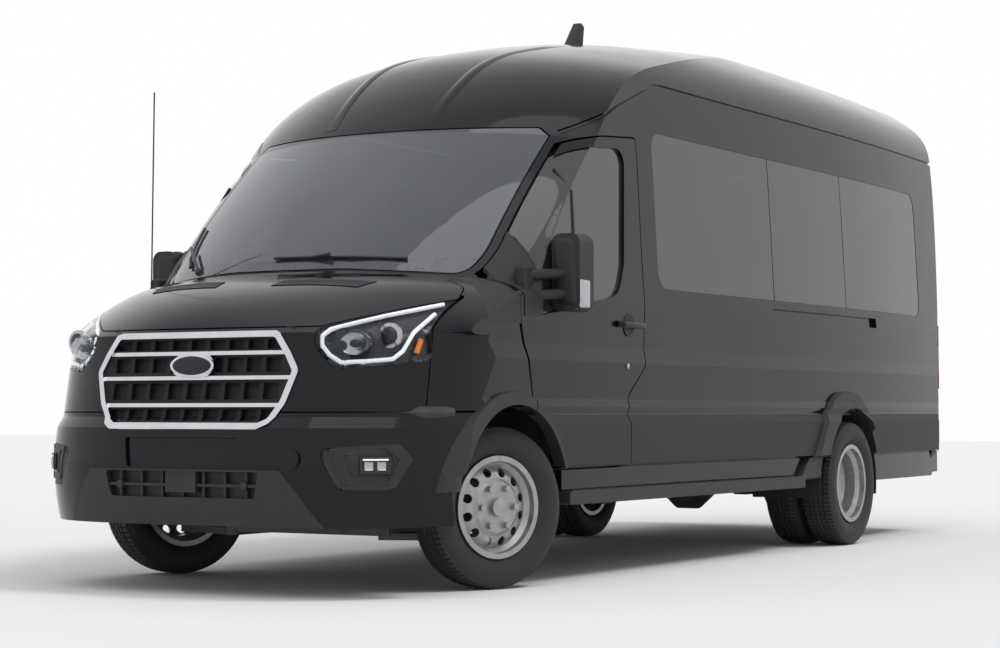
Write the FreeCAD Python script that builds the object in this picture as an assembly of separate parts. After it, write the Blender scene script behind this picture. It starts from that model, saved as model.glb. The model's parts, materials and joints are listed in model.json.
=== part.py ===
import FreeCAD, Part
import math
import os
from FreeCAD import Vector

os.makedirs("parts", exist_ok=True)

# Overall sizes. The front of the vehicle faces -Y, its left side is +X, the ground is z = 0
LENGTH = 6704.0
WHEELBASE = 3750.0
FRONT_OVERHANG = 1023.0
HALF_WIDTH = 1036.0
ROOF_Z = 2777.0
NOSE = -LENGTH / 2
TAIL = LENGTH / 2
FRONT_AXLE = NOSE + FRONT_OVERHANG
REAR_AXLE = FRONT_AXLE + WHEELBASE

# Walls and seams
WALL = 45.0
GAP = 6.0
DOOR_GAP = 8.0
DOOR_ROOM = 8.0
DOOR_DEPTH = 55.0
SEAT = 0.3
SIDE_FOOT = 408.0
SKIRT_FOOT = 350.0
PILLAR_W = 34.0
PILLAR_END = -1690.0
COWL_HALF = 800.0
PANE = 6.0
PANE_GAP = 3.0
PANE_DEPTH = 2.0

# Levels up the side
SILL_Z = 500.0
GROOVE_Z = 755.0
CREST_Z = 1050.0
BELT_Z = 1250.0
GUTTER_Z = 2335.0

# Wheels
TYRE_R = 349.5
TYRE_W = 195.0
BEAD_R = 203.0
RIM_LIP_R = 220.0
RIM_W = 142.0
AXLE_Z = 348.5
STEER_REST = -20.4
STEER_LOCK = 35.0
KINGPIN_X = 790.0
FRONT_WHEEL_X = 866.0
REAR_OUTER_X = 946.0
REAR_INNER_X = 722.0
NUT_CIRCLE_R = 90.0
TWIN_X = (REAR_OUTER_X + REAR_INNER_X) / 2
SPINDLE_R = 30.0
AXLE_STUB_R = 40.0
RUN_GAP = 0.4

# Door and hood axes
FRONT_DOOR_AXIS = (1050.0, FRONT_AXLE - 11.0)
REAR_DOOR_AXIS = (905.0, TAIL - 122.0)


def interpolated(points, parameters):
    curve = Part.BSplineCurve()
    curve.interpolate(Points=points, Parameters=parameters)
    return curve.toShape()


def spread(points):
    lengths = [0.0]
    for a, b in zip(points[:-1], points[1:]):
        lengths.append(lengths[-1] + math.hypot(b[0] - a[0], b[1] - a[1]))
    return [value / lengths[-1] for value in lengths]


def line(a, b):
    return Part.LineSegment(a, b).toShape()


def place(plane, a, b, c=0.0):
    if plane == "side":
        return Vector(c, a, b)
    if plane == "front":
        return Vector(a, c, b)
    return Vector(a, b, c)


def outline(points, plane):
    """Closed wire through corner points (a, b) or (a, b, corner radius)."""
    corners = [(p[0], p[1], p[2] if len(p) > 2 else 0.0) for p in points]
    edges = []
    ends = []
    count = len(corners)
    for i in range(count):
        here = corners[i]
        before = corners[i - 1]
        after = corners[(i + 1) % count]
        if here[2] <= 0:
            ends.append((here, here, None))
            continue
        u = (before[0] - here[0], before[1] - here[1])
        v = (after[0] - here[0], after[1] - here[1])
        lu, lv = math.hypot(*u), math.hypot(*v)
        u = (u[0] / lu, u[1] / lu)
        v = (v[0] / lv, v[1] / lv)
        angle = math.acos(max(-1.0, min(1.0, u[0] * v[0] + u[1] * v[1])))
        reach = min(here[2] / math.tan(angle / 2), 0.49 * min(lu, lv))
        radius = reach * math.tan(angle / 2)
        start = (here[0] + u[0] * reach, here[1] + u[1] * reach)
        end = (here[0] + v[0] * reach, here[1] + v[1] * reach)
        bis = (u[0] + v[0], u[1] + v[1])
        lb = math.hypot(*bis)
        far = radius / math.sin(angle / 2) - radius
        middle = (here[0] + bis[0] / lb * far, here[1] + bis[1] / lb * far)
        ends.append((start, end, middle))
    for i in range(count):
        start, end, middle = ends[i]
        if middle is not None:
            edges.append(Part.Arc(place(plane, *start[:2]), place(plane, *middle),
                                  place(plane, *end[:2])).toShape())
        following = ends[(i + 1) % count][0]
        a, b = place(plane, *end[:2]), place(plane, *following[:2])
        if (b - a).Length > 1e-6:
            edges.append(line(a, b))
    return Part.Wire(edges)


def prism(points, plane, low, high, grow=0.0):
    """Solid from an outline, from low to high across its plane, grown or shrunk all round."""
    face = Part.Face(outline(points, plane))
    if grow:
        face = Part.Face(face.makeOffset2D(grow).Wires[0])
    across = {"side": Vector(1, 0, 0), "front": Vector(0, 1, 0), "plan": Vector(0, 0, 1)}[plane]
    face.translate(across * low)
    return face.extrude(across * (high - low))


def tapered(points, low, high, shrink):
    """Side prism whose outline shrinks on its way out."""
    foot = Part.Face(outline(points, "side"))
    head = foot.makeOffset2D(-shrink)
    foot.translate(Vector(low, 0, 0))
    head.translate(Vector(high, 0, 0))
    return Part.makeLoft([foot.Wires[0], head.Wires[0]], True, True)


def half_round(centre, level, radius, foot=-600.0):
    """Outline of a wheel opening: a half circle on straight legs."""
    return [(centre - radius, foot), (centre - radius, level + radius, radius),
            (centre + radius, level + radius, radius), (centre + radius, foot)]


def box(x0, x1, y0, y1, z0, z1):
    return Part.makeBox(x1 - x0, y1 - y0, z1 - z0, Vector(x0, y0, z0))


def rounded_box(x0, x1, y0, y1, z0, z1, radius, plane="side"):
    """Box with the four edges across one plane rounded."""
    spans = {"side": (y0, y1, z0, z1, x0, x1), "front": (x0, x1, z0, z1, y0, y1), "plan": (x0, x1, y0, y1, z0, z1)}
    a0, a1, b0, b1, low, high = spans[plane]
    corners = [(a0, b0, radius), (a0, b1, radius), (a1, b1, radius), (a1, b0, radius)]
    return prism(corners, plane, low, high)


def mirrored(shape):
    return shape.mirror(Vector(0, 0, 0), Vector(1, 0, 0))


def solids_of(shape):
    found = [s for s in shape.Solids if s.Volume > 500.0]
    return found[0] if len(found) == 1 else Part.makeCompound(found)


def largest(shape):
    return max(shape.Solids, key=lambda solid: solid.Volume)


def joined(parts):
    shape = parts[0]
    for other in parts[1:]:
        shape = shape.fuse(other)
    return shape


def rod(start, end, radius):
    direction = end - start
    return Part.makeCylinder(radius, direction.Length, start, direction)


def save(node, shape):
    shape.exportStep("parts/" + node + ".step")


# The body's outer form: a lengthwise profile that sweeps back towards the corners,
# met by a cross-section that narrows towards the tail
def plan_shift(kind, x):
    a = abs(x) / 1000.0
    if kind == "nose":
        return 490.0 * a ** 5
    if kind == "hood":
        return 240.0 * a ** 2 + 80.0 * a ** 4
    if kind in ("screen", "cowl"):
        return 260.0 * a ** 2 + 120.0 * a ** 4
    return 0.0


def crown_drop(kind, crown, x):
    a = abs(x) / 1000.0
    return crown * a ** 2 + (50.0 * a ** 6 if kind in ("hood", "cowl") else 0.0)


BODY_FOOT = 280.0
PROFILE = [
    [(NOSE + 20, BODY_FOOT, "nose", 0), (NOSE - 19, 450, "nose", 0), (NOSE - 8, 690, "nose", 0)],
    [(NOSE - 8, 690, "nose", 0), (NOSE + 32, 735, "nose", 0)],
    [(NOSE + 32, 735, "nose", 0), (NOSE + 66, 920, "nose", 0), (NOSE + 90, 1077, "nose", 0)],
    [(NOSE + 90, 1077, "nose", 0), (NOSE + 200, 1190, "hood", 30), (NOSE + 382, 1284, "hood", 30),
     (NOSE + 692, 1370, "cowl", 30)],
    [(NOSE + 692, 1370, "cowl", 30), (NOSE + 1037, 1716, "screen", 35),
     (NOSE + 1402, 2045, "screen", 40)],
    [(NOSE + 1402, 2045, "screen", 40), (NOSE + 1652, 2285, "screen", 60),
     (NOSE + 1912, 2445, "screen", 90), (NOSE + 2252, 2552, "screen", 120),
     (NOSE + 2852, 2665, "screen", 150), (NOSE + 3752, ROOF_Z - 20, "screen", 160)],
    [(NOSE + 3752, ROOF_Z - 20, "screen", 160), (TAIL - 1752, ROOF_Z, "flat", 160),
     (TAIL - 170, ROOF_Z - 39, "flat", 160)],
    [(TAIL - 170, ROOF_Z - 39, "flat", 160), (TAIL - 90, ROOF_Z - 87, "flat", 160),
     (TAIL - 40, ROOF_Z - 217, "flat", 160)],
]
STATIONS = [-1060, -760, -400, 0, 400, 760, 1060]


def profile_wire(x):
    edges = []
    for run in PROFILE:
        points = [Vector(x, y + plan_shift(kind, x), z - crown_drop(kind, crown, x))
                  for y, z, kind, crown in run]
        edges.append(line(*points) if len(points) == 2 else interpolated(points, spread(run)))
    first = edges[0].Vertexes[0].Point
    last = edges[-1].Vertexes[-1].Point
    low = Vector(x, last.y, first.z)
    edges += [line(last, low), line(low, first)]
    return Part.Wire(edges)


BANDS = [(985, 260), (985, SILL_Z), (1034, SILL_Z + 15), (HALF_WIDTH, 700), (1014, GROOVE_Z - 9),
         (1026, GROOVE_Z + 21), (1018, 812), (1032, CREST_Z - 70), (1020, CREST_Z), (1027, BELT_Z)]
UPPER = [(1027, BELT_Z), (1010, BELT_Z + 250), (974, GUTTER_Z - 235), (949, GUTTER_Z)]
UPPER_AT = [0, 0.23, 0.78, 1]
CANT = [(949, GUTTER_Z), (928, ROOF_Z - 347), (862, ROOF_Z - 242), (765, ROOF_Z - 162),
        (640, ROOF_Z - 87), (400, ROOF_Z - 7)]
CANT_AT = [0, 0.045, 0.105, 0.165, 0.235, 0.36, 0.5]
TAPER_START = 1200.0


def taper(y):
    return 70.0 * (max(y - TAPER_START, 0) / 2000.0) ** 2


def section_wire(y):
    inset = taper(y)

    def at(point, side):
        return Vector(side * (point[0] - inset), y, point[1])

    right = [line(at(a, 1), at(b, 1)) for a, b in zip(BANDS[:-1], BANDS[1:])]
    left = [line(at(b, -1), at(a, -1)) for a, b in zip(BANDS[:-1], BANDS[1:])]
    over = [at(p, 1) for p in CANT] + [Vector(0, y, ROOF_Z + 33)] + [at(p, -1) for p in reversed(CANT)]
    over_at = CANT_AT + [1 - q for q in reversed(CANT_AT[:-1])]
    edges = right
    edges.append(interpolated([at(p, 1) for p in UPPER], UPPER_AT))
    edges.append(interpolated(over, over_at))
    edges.append(interpolated([at(p, -1) for p in reversed(UPPER)], [1 - q for q in reversed(UPPER_AT)]))
    edges += reversed(left)
    edges.append(line(at(BANDS[0], -1), at(BANDS[0], 1)))
    return Part.Wire(edges)


REAR_FACE = TAIL - 86.0
REAR_LEAN = 45.0


def tail_prism():
    wide, half, bow, corner = 1100.0, 966.0, 25.0, 190.0
    p = [Vector(-wide, NOSE - 200, 0), Vector(-wide, REAR_FACE - 400, 0),
         Vector(-half, REAR_FACE - 210, 0), Vector(-half + 62, REAR_FACE - bow - 62, 0),
         Vector(-half + corner, REAR_FACE - bow, 0), Vector(0, REAR_FACE, 0)]
    q = [Vector(-v.x, v.y, 0) for v in p]
    edges = [line(p[0], p[1]), line(p[1], p[2]), Part.Arc(p[2], p[3], p[4]).toShape(),
             Part.Arc(p[4], p[5], q[4]).toShape(), Part.Arc(q[4], q[3], q[2]).toShape(),
             line(q[2], q[1]), line(q[1], q[0]), line(q[0], p[0])]
    return Part.Face(Part.Wire(edges)).extrude(Vector(0, -REAR_LEAN, 2900))


def outer_form():
    lengthwise = Part.makeLoft([profile_wire(x) for x in STATIONS], True, False)
    rings = [NOSE - 120, -1200, 1000, 1700, 2500, TAIL + 60]
    across = Part.makeLoft([section_wire(y) for y in rings], True, False)
    return lengthwise.common(across).common(tail_prism())


# The hollow inside, a wall's thickness in from the outer form
def inner_profile_wire(x):
    slope_of = {"nose": 2450.0 * (abs(x) / 1000.0) ** 4,
                "screen": 520.0 * abs(x) / 1000.0 + 480.0 * (abs(x) / 1000.0) ** 3}

    def back(kind):
        return WALL * math.sqrt(1 + (slope_of[kind] / 1000.0) ** 2)

    corners = [(NOSE + back("nose"), BODY_FOOT - 30, "nose", 0),
               (NOSE - 8 + back("nose"), 690, "nose", 0),
               (NOSE + 32 + back("nose"), 720, "nose", 0),
               (NOSE + 100 + back("nose"), 1050, "nose", 0),
               (NOSE + 392, 1284 - WALL, "hood", 30),
               (NOSE + 692 + WALL, 1360 - WALL * 0.6, "cowl", 30),
               (NOSE + 1402 + WALL * 0.8, 2045 - WALL * 0.8, "screen", 40),
               (NOSE + 1652 + WALL * 0.8, 2285 - WALL, "screen", 60),
               (NOSE + 1912 + WALL * 0.4, 2445 - WALL, "screen", 90),
               (NOSE + 2252, 2552 - WALL, "screen", 120),
               (NOSE + 2852, 2665 - WALL, "screen", 150),
               (NOSE + 3752, ROOF_Z - 24 - WALL, "screen", 160),
               (TAIL + 100, ROOF_Z - 24 - WALL, "flat", 160),
               (TAIL + 100, BODY_FOOT - 30, "flat", 0)]
    points = [Vector(x, y + plan_shift(kind, x), z - crown_drop(kind, crown, x))
              for y, z, kind, crown in corners]
    return Part.makePolygon(points + points[:1])


INNER_SECTION = [(985 - WALL, 200), (985 - WALL, SILL_Z + 20), (1018 - WALL, SILL_Z + 60),
                 (1016 - WALL, BELT_Z), (974 - WALL, GUTTER_Z - 235), (946 - WALL, GUTTER_Z),
                 (840 - WALL, ROOF_Z - 232), (640 - WALL * 0.5, ROOF_Z - 100 - WALL),
                 (380, ROOF_Z - 20 - WALL), (0, ROOF_Z + 20 - WALL)]


def inner_section_wire(y):
    inset = taper(y)
    points = [Vector(a - inset if a else 0, y, b) for a, b in INNER_SECTION]
    points += [Vector(-v.x, y, v.z) for v in reversed(points[:-1])]
    return Part.makePolygon(points + points[:1])


def inner_form():
    lengthwise = Part.makeLoft([inner_profile_wire(x) for x in (-1060, -760, -400, 0, 400, 760, 1060)],
                               True, True)
    across = Part.makeLoft([inner_section_wire(y) for y in (NOSE - 150, TAPER_START, 2300, TAIL + 80)],
                           True, True)
    rear = tail_prism()
    rear.translate(Vector(0, -WALL, 0))
    return lengthwise.common(across).common(rear)


def shifted(shape, x=0.0, y=0.0, z=0.0):
    moved = shape.copy()
    moved.translate(Vector(x, y, z))
    return moved


OUTER = outer_form()
INNER = inner_form()
SHELL = OUTER.cut(INNER)

# Outlines seen from the side, as (y, z, corner radius)
FRONT_ARCH = half_round(FRONT_AXLE - 101, 345, 440)
FRONT_ARCH_TRIM = half_round(FRONT_AXLE - 131, 350, 512)
REAR_ARCH = half_round(REAR_AXLE, AXLE_Z, 425)
REAR_FLARE = [(REAR_AXLE - 741, 372), (REAR_AXLE - 551, 560, 300), (REAR_AXLE - 411, 780, 200),
              (REAR_AXLE - 231, 893, 250), (REAR_AXLE + 79, 893, 300), (REAR_AXLE + 300, 740, 300),
              (REAR_AXLE + 452, 400, 60), (REAR_AXLE + 452, 372)]
DOOR_REAR = FRONT_AXLE + 1149.0
FRONT_DOOR = [(DOOR_REAR, 2052, 25), (FRONT_AXLE + 519, 2003, 1100), (FRONT_AXLE - 96, 1458, 15),
              (FRONT_AXLE - 62, 1142, 100), (FRONT_AXLE + 60, 790, 60), (FRONT_AXLE + 60, 700),
              (FRONT_AXLE + 250, 500), (FRONT_AXLE + 984, SILL_Z + 3, 20), (FRONT_AXLE + 984, 830, 60),
              (DOOR_REAR, 970, 60)]
DOOR_WINDOW = [(FRONT_AXLE + 1018, 1986, 70), (FRONT_AXLE + 955, 1440, 100), (FRONT_AXLE + 880, 1290, 150),
               (FRONT_AXLE + 90, 1168, 30), (FRONT_AXLE - 36, 1162, 15), (FRONT_AXLE - 45, 1430, 15),
               (FRONT_AXLE + 560, 1957, 500)]
SAIL = [(FRONT_AXLE - 367, 1132, 4), (FRONT_AXLE - 98, 1462, 8), (FRONT_AXLE - 62, 1130, 4)]
MIRROR_BASE_REAR = FRONT_AXLE + 128.0
FENDER_SIDE = [(NOSE - 200, 757), (NOSE - 200, 1500), (FRONT_AXLE - 330, 1500), (FRONT_AXLE - 280, 1425, 60),
               (FRONT_AXLE - 171, 1365), (FRONT_AXLE - 62, 1142, 100), (FRONT_AXLE + 60, 790, 60),
               (FRONT_AXLE + 60, 757)]
ROOF_LINE = [(TAIL + 100, GUTTER_Z), (FRONT_AXLE + 1400, GUTTER_Z, 600), (FRONT_AXLE + 990, 2190, 250),
             (FRONT_AXLE + 626, 2022, 60), (FRONT_AXLE + 300, 2062)]
SIDE_WALL = [(FRONT_AXLE - 333, 1431), (FRONT_AXLE - 255, 1418, 60), (FRONT_AXLE - 165, 1362),
             (FRONT_AXLE + 60, 790), (FRONT_AXLE + 379, SIDE_FOOT), (REAR_AXLE, SIDE_FOOT),
             (REAR_AXLE, SKIRT_FOOT), (TAIL - 330, SKIRT_FOOT), (TAIL - 300, 372), (TAIL + 100, 372)]
ROOF_END = [(FRONT_AXLE - 700, 2062), (FRONT_AXLE - 700, 3000), (TAIL + 100, 3000)]
GUTTER_H = 15.0
GUTTER_DEPTH = 12.0
WINDOW_LOW = 1345.0
WINDOW_HIGH = 2100.0
PILLARS = (FRONT_AXLE + 1322, FRONT_AXLE + 2699, FRONT_AXLE + 3709, FRONT_AXLE + 5010)
BAND_R = 90.0
SLIDING_FRONT = FRONT_AXLE + 1234.0
SLIDING_REAR = FRONT_AXLE + 2662.0
SLIDING_DOOR = [(SLIDING_FRONT, SILL_Z + 3, 40), (SLIDING_FRONT, 2215, 90),
                (SLIDING_REAR, 2215, 90), (SLIDING_REAR, SILL_Z + 3, 40)]
RAIL = [(SLIDING_REAR + 8, BELT_Z - 6, 6), (SLIDING_REAR + 8, BELT_Z + 50, 6),
        (SLIDING_REAR + 1508, BELT_Z + 50, 6), (SLIDING_REAR + 1508, BELT_Z - 6, 6)]

# Outlines seen from the front, as (x, z, corner radius)
SCREEN = [(-765, 2056), (765, 2056), (818, 2014, 15), (834, 1440, 600), (800, 1345, 90), (300, 1374, 900),
          (-300, 1374, 900), (-800, 1345, 90), (-834, 1440, 600), (-818, 2014, 15)]
HEADLAMP = [(574, 1100, 12), (927, 1226, 8), (950, 962, 30), (665, 925, 60), (572, 1020, 40)]
GRILLE = [(-400, 1087, 25), (400, 1087, 25), (423, 1077, 20), (479, 1000, 60), (522, 925, 40),
          (479, 790, 80), (423, 706, 30), (380, 685, 20), (-380, 685, 20), (-423, 706, 30),
          (-479, 790, 80), (-522, 925, 40), (-479, 1000, 60), (-423, 1077, 20)]
GRILLE_RIM = 26.0
GRILLE_BARS = (997, 895, 783)
GRILLE_ROWS = ((1012, 1052), (918, 978), (806, 874), (718, 766))
GRILLE_COLUMNS = 4
GRILLE_PITCH = 98.0
BADGE_PLACE = [(-106, 900, 46), (106, 900, 46), (106, 992, 46), (-106, 992, 46)]
MESH_DEPTH = 20.0
INTAKE_BACK = 20.0
INTAKE_RIBS = 3
INTAKE_PITCH = 108.0
VALANCE = [(-490, 521, 20), (490, 521, 20), (560, 430, 40), (650, 290), (-650, 290), (-560, 430, 40)]
INTAKE = [(-395, 513, 15), (395, 513, 15), (370, 405, 15), (-370, 405, 15)]
FOG = [(640, 608, 30), (906, 629, 15), (938, 566, 15), (892, 443, 25), (717, 443, 25)]
PLATE_RECESS = [(-292, 650, 8), (292, 650, 8), (276, 530, 8), (-276, 530, 8)]
BUMPER_TOP = 751.0
BUMPER_FOOT = 290.0
FENDER_X = 945.0
HOOD_FOOT = 1104.0
HOOD_EDGE = [(-937, 1236), (-930, 1222), (-574, 1106, 30), (-500, 1104, 60), (500, 1104, 60),
             (574, 1106, 30), (930, 1222), (937, 1236), (937, 1500), (-937, 1500)]
HOOD_PLAN = [(-945, NOSE - 100), (945, NOSE - 100), (945, FRONT_AXLE - 420), (905, FRONT_AXLE - 290, 40),
             (800, FRONT_AXLE - 275, 200), (450, FRONT_AXLE - 330, 900), (-450, FRONT_AXLE - 330, 900),
             (-800, FRONT_AXLE - 275, 200), (-905, FRONT_AXLE - 290, 40), (-945, FRONT_AXLE - 420)]

# Outlines seen from behind, as (x, z, corner radius)
REAR_DOOR_FOOT = 712.0
REAR_BUMPER_TOP = 700.0
REAR_DOOR = [(5, REAR_DOOR_FOOT, 10), (868, REAR_DOOR_FOOT, 40), (868, 2320, 90), (5, 2320, 10)]
REAR_WINDOW = [(130, 1360, 60), (770, 1360, 60), (770, 2090, 90), (130, 2090, 60)]


def half(points):
    """The right-hand half outline's copy on the other side."""
    return [(-p[0],) + tuple(p[1:]) for p in points]


def front_cut(points, low=NOSE - 150, high=-2350.0, grow=0.0):
    return prism(points, "front", low, high, grow)


def side_cut(points, low=600.0, high=1250.0, grow=0.0):
    return prism(points, "side", low, high, grow)


def pane_outlines():
    panes = []
    for i in range(3):
        low, high = PILLARS[i] + (4 if i else 0), PILLARS[i + 1] - (4 if i < 2 else 0)
        r0, r1 = (BAND_R if i == 0 else 4.0), (BAND_R if i == 2 else 4.0)
        panes.append([(low, WINDOW_LOW, r0), (low, WINDOW_HIGH, r0), (high, WINDOW_HIGH, r1),
                      (high, WINDOW_LOW, r1)])
    return panes


OUTER_LEFT = OUTER.common(box(550, 1300, NOSE - 200, TAIL + 200, 200, 2700))


def side_wall(door_side):
    """Left-hand body side: pillars, window band, rear quarter. The sliding door's side is cut for it."""
    region = side_cut(SIDE_WALL + ROOF_LINE + [(FRONT_AXLE - 333, 2062)], 780, grow=-GAP / 2)
    wall = SHELL.common(region).cut(front_cut(SCREEN, high=-1650, grow=4))
    cuts = [side_cut(FRONT_DOOR, grow=DOOR_GAP / 2), side_cut(SAIL, grow=2), side_cut(REAR_ARCH, 500),
            side_cut(FENDER_SIDE, grow=GAP / 2),
            prism(REAR_DOOR, "front", 2900, TAIL + 100, GAP),
            rear_bumper_form(),
            box(700, 1300, FRONT_AXLE - 100, FRONT_AXLE + 379, 300, 800)]
    for pane in pane_outlines():
        cuts.append(side_cut(pane, grow=-28))
    band = [(PILLARS[0], WINDOW_LOW, BAND_R), (PILLARS[0], WINDOW_HIGH, BAND_R),
            (PILLARS[3], WINDOW_HIGH, BAND_R), (PILLARS[3], WINDOW_LOW, BAND_R)]
    cuts.append(side_cut(band, grow=2).cut(shifted(OUTER_LEFT, -PANE_DEPTH - PANE - 0.3)))
    cuts.append(side_cut(RAIL).cut(shifted(OUTER_LEFT, -22)))
    if door_side:
        cuts.append(side_cut(SLIDING_DOOR, grow=GAP / 2))
    for tool in cuts:
        wall = wall.cut(tool)
    return joined([largest(wall), screen_pillar()])


def screen_zone(grow):
    """All that lies within a distance of the windscreen's edge, seen from the front, and the cowl's bay."""
    bay = box(-COWL_HALF - SEAT, COWL_HALF + SEAT, NOSE, PILLAR_END, 1200, 1420)
    return front_cut(SCREEN, high=PILLAR_END, grow=grow).fuse(bay)


def screen_pillar():
    """Windscreen pillar: a strip of the shell that runs round the edge of the glass."""
    ring = front_cut(SCREEN, high=PILLAR_END, grow=PILLAR_W).cut(front_cut(SCREEN, high=PILLAR_END, grow=4))
    upper = box(600, 1100, NOSE, PILLAR_END, 1420, 2100)
    foot = box(COWL_HALF + SEAT, 1100, NOSE, PILLAR_END, 1280, 1420)
    ring = ring.common(upper.fuse(foot)).cut(roof_region(GAP / 2))
    return largest(SHELL.common(ring).cut(hood_region(GAP)))


def roof_region(grow):
    return prism(ROOF_LINE + ROOF_END, "side", -1300, 1300, grow)


def sliding_door():
    door = SHELL.common(side_cut(SLIDING_DOOR, 780, grow=-GAP / 2))
    pane = pane_outlines()[0]
    door = door.cut(side_cut(pane, grow=-28))
    return door.cut(side_cut(pane, grow=2).cut(shifted(OUTER_LEFT, -PANE_DEPTH - PANE - 0.3)))


def side_panes():
    panes = []
    for pane in pane_outlines():
        blank = side_cut(pane).common(shifted(OUTER_LEFT, -PANE_DEPTH))
        panes.append(blank.cut(shifted(OUTER_LEFT, -PANE_DEPTH - PANE)))
    return Part.makeCompound(panes)


def front_door():
    door = SHELL.common(side_cut(FRONT_DOOR, 880, grow=-DOOR_GAP / 2))
    door = door.cut(side_cut(FRONT_ARCH, 500, grow=4)).cut(side_cut(DOOR_WINDOW))
    flange = box(600, 1100, DOOR_REAR - 16, DOOR_REAR + 10, 400, 2200).common(shifted(OUTER_LEFT, -10))
    room = rod(Vector(600, FRONT_AXLE, AXLE_Z), Vector(1000, FRONT_AXLE, AXLE_Z), TYRE_R + 16)
    return door.cut(screen_zone(PILLAR_W + GAP)).cut(flange).cut(room).cut(shifted(OUTER_LEFT, -DOOR_DEPTH))


def door_pane():
    blank = side_cut(DOOR_WINDOW, grow=-0.4).common(shifted(OUTER_LEFT, -14))
    blank = blank.cut(shifted(OUTER_LEFT, -14 - PANE)).cut(box(500, 1300, -3000, MIRROR_BASE_REAR, 1000, 2200))
    return blank.cut(screen_zone(PILLAR_W + GAP))


def fender():
    region = side_cut(FENDER_SIDE, 600, grow=-GAP / 2)
    region = region.common(front_cut([(FENDER_X + 3, 700), (FENDER_X + 3, 1228), (940, 1240),
                                      (780, 1240), (780, 1600), (1200, 1600), (1200, 700)],
                                     high=FRONT_AXLE + 200))
    wing = SHELL.common(region)
    wing = wing.cut(side_cut(FRONT_ARCH, 500)).cut(side_cut(SAIL, grow=SEAT))
    wing = wing.cut(hood_region(GAP)).cut(screen_zone(PILLAR_W + SEAT))
    return wing.cut(side_cut(SIDE_WALL + ROOF_LINE + [(FRONT_AXLE - 333, 2062)], 780, grow=GAP / 2))


def hood_region(grow=0.0):
    plan = prism(HOOD_PLAN, "plan", 1000, 1600, grow)
    return plan.common(front_cut(HOOD_EDGE, grow=grow))


def hood():
    return SHELL.common(prism(HOOD_PLAN, "plan", 1000, 1600)).common(front_cut(HOOD_EDGE))


def fascia():
    region = front_cut([(-FENDER_X, BUMPER_TOP + GAP), (FENDER_X, BUMPER_TOP + GAP), (FENDER_X, 1230),
                        (-FENDER_X, 1230)], grow=0)
    panel = SHELL.common(region)
    for opening in (front_cut(HOOD_EDGE, grow=GAP), front_cut(HEADLAMP, grow=2),
                    front_cut(half(HEADLAMP), grow=2), front_cut(GRILLE, grow=1)):
        panel = panel.cut(opening)
    buffer = box(430, 470, NOSE + 128, NOSE + 152, HOOD_FOOT - GAP - 4, HOOD_FOOT - SEAT)
    return joined([largest(panel), buffer, mirrored(buffer)])


FRONT_BLOCK = OUTER.common(box(-720, 720, NOSE - 100, -2900, 260, 1110))


def front_skin(proud, deep):
    """A slice that follows the nose, from proud of its surface to deep behind it."""
    return shifted(FRONT_BLOCK, y=-proud).cut(shifted(FRONT_BLOCK, y=deep))


def front_bumper():
    region = box(-1200, 1200, NOSE - 100, FRONT_AXLE - 101, BUMPER_FOOT, BUMPER_TOP)
    shell = SHELL.common(region).cut(front_cut(VALANCE, grow=1)).cut(front_cut(GRILLE, grow=1))
    for fog in (FOG, half(FOG)):
        shell = shell.cut(front_cut(fog, grow=1))
    shell = shell.cut(front_cut(PLATE_RECESS).cut(shifted(FRONT_BLOCK, y=14)))
    for arch in (side_cut(FRONT_ARCH, 500), mirrored(side_cut(FRONT_ARCH, 500))):
        shell = shell.cut(arch)
    return shell


def valance():
    """Lower middle of the bumper, with an air intake of ribs and slats in front of a closed back."""
    pocket = front_cut(INTAKE, high=NOSE + INTAKE_BACK)
    back = NOSE + INTAKE_BACK + 4
    slats = [box(-392, 392, NOSE - 10, back, 450, 462), box(-78, 78, NOSE - 18, back, 426, 516)]
    slats += [rod(Vector(x, NOSE - 17, 456), Vector(x, back, 456), 17) for x in (-320, 320)]
    for i in range(-INTAKE_RIBS, INTAKE_RIBS + 1):
        x = i * INTAKE_PITCH
        slats.append(box(x - 6, x + 6, NOSE - 2, back, 400, 518))
    inside = joined(slats).common(front_cut(INTAKE, grow=3))
    return SHELL.common(front_cut(VALANCE)).cut(pocket).fuse(inside)


def grille():
    """Bright surround, three bars and a plain oval place."""
    ring = front_cut(GRILLE).cut(front_cut(GRILLE, grow=-GRILLE_RIM))
    parts = [front_skin(10, 34).common(ring)]
    bars = front_skin(0, 22).common(front_cut(GRILLE, grow=-GRILLE_RIM + 2))
    for z in GRILLE_BARS:
        parts.append(bars.common(box(-600, 600, NOSE - 100, -2900, z - 8, z + 8)))
    parts.append(front_skin(8, 22).common(front_cut(BADGE_PLACE)))
    return joined(parts)


def grille_mesh():
    """Dark plate behind the bars, with rows of windows in front of a closed back."""
    def sheet(front, back):
        face = [(NOSE - 8, 690), (NOSE + 32, 735), (NOSE + 66, 920), (NOSE + 90, 1087)]
        outer = [(y + front, z) for y, z in face]
        inner = [(y + back, z) for y, z in reversed(face)]
        return prism(outer + inner, "side", -600, 600)

    plate = sheet(MESH_DEPTH, MESH_DEPTH + 34)
    windows = []
    for low, high in GRILLE_ROWS:
        for i in range(-GRILLE_COLUMNS, GRILLE_COLUMNS + 1):
            x = i * GRILLE_PITCH
            windows.append(box(x - 38, x + 38, NOSE - 100, NOSE + 300, low, high))
    plate = plate.cut(Part.makeCompound(windows).common(sheet(0, MESH_DEPTH + 24)))
    return plate.common(front_cut(GRILLE, grow=-GRILLE_RIM - SEAT))


def lamps():
    units = []
    for points in (HEADLAMP, FOG):
        for side in (points, half(points)):
            unit = front_cut(side).common(shifted(OUTER, y=3)).cut(shifted(OUTER, y=60))
            units.append(largest(unit.cut(hood_region(GAP))))
    return Part.makeCompound(units)


def windscreen():
    pane = front_cut(SCREEN, low=-2900, high=-1300, grow=-PANE_GAP)
    return pane.common(OUTER).cut(shifted(OUTER, y=PANE * 0.69, z=-PANE * 0.73))


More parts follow.
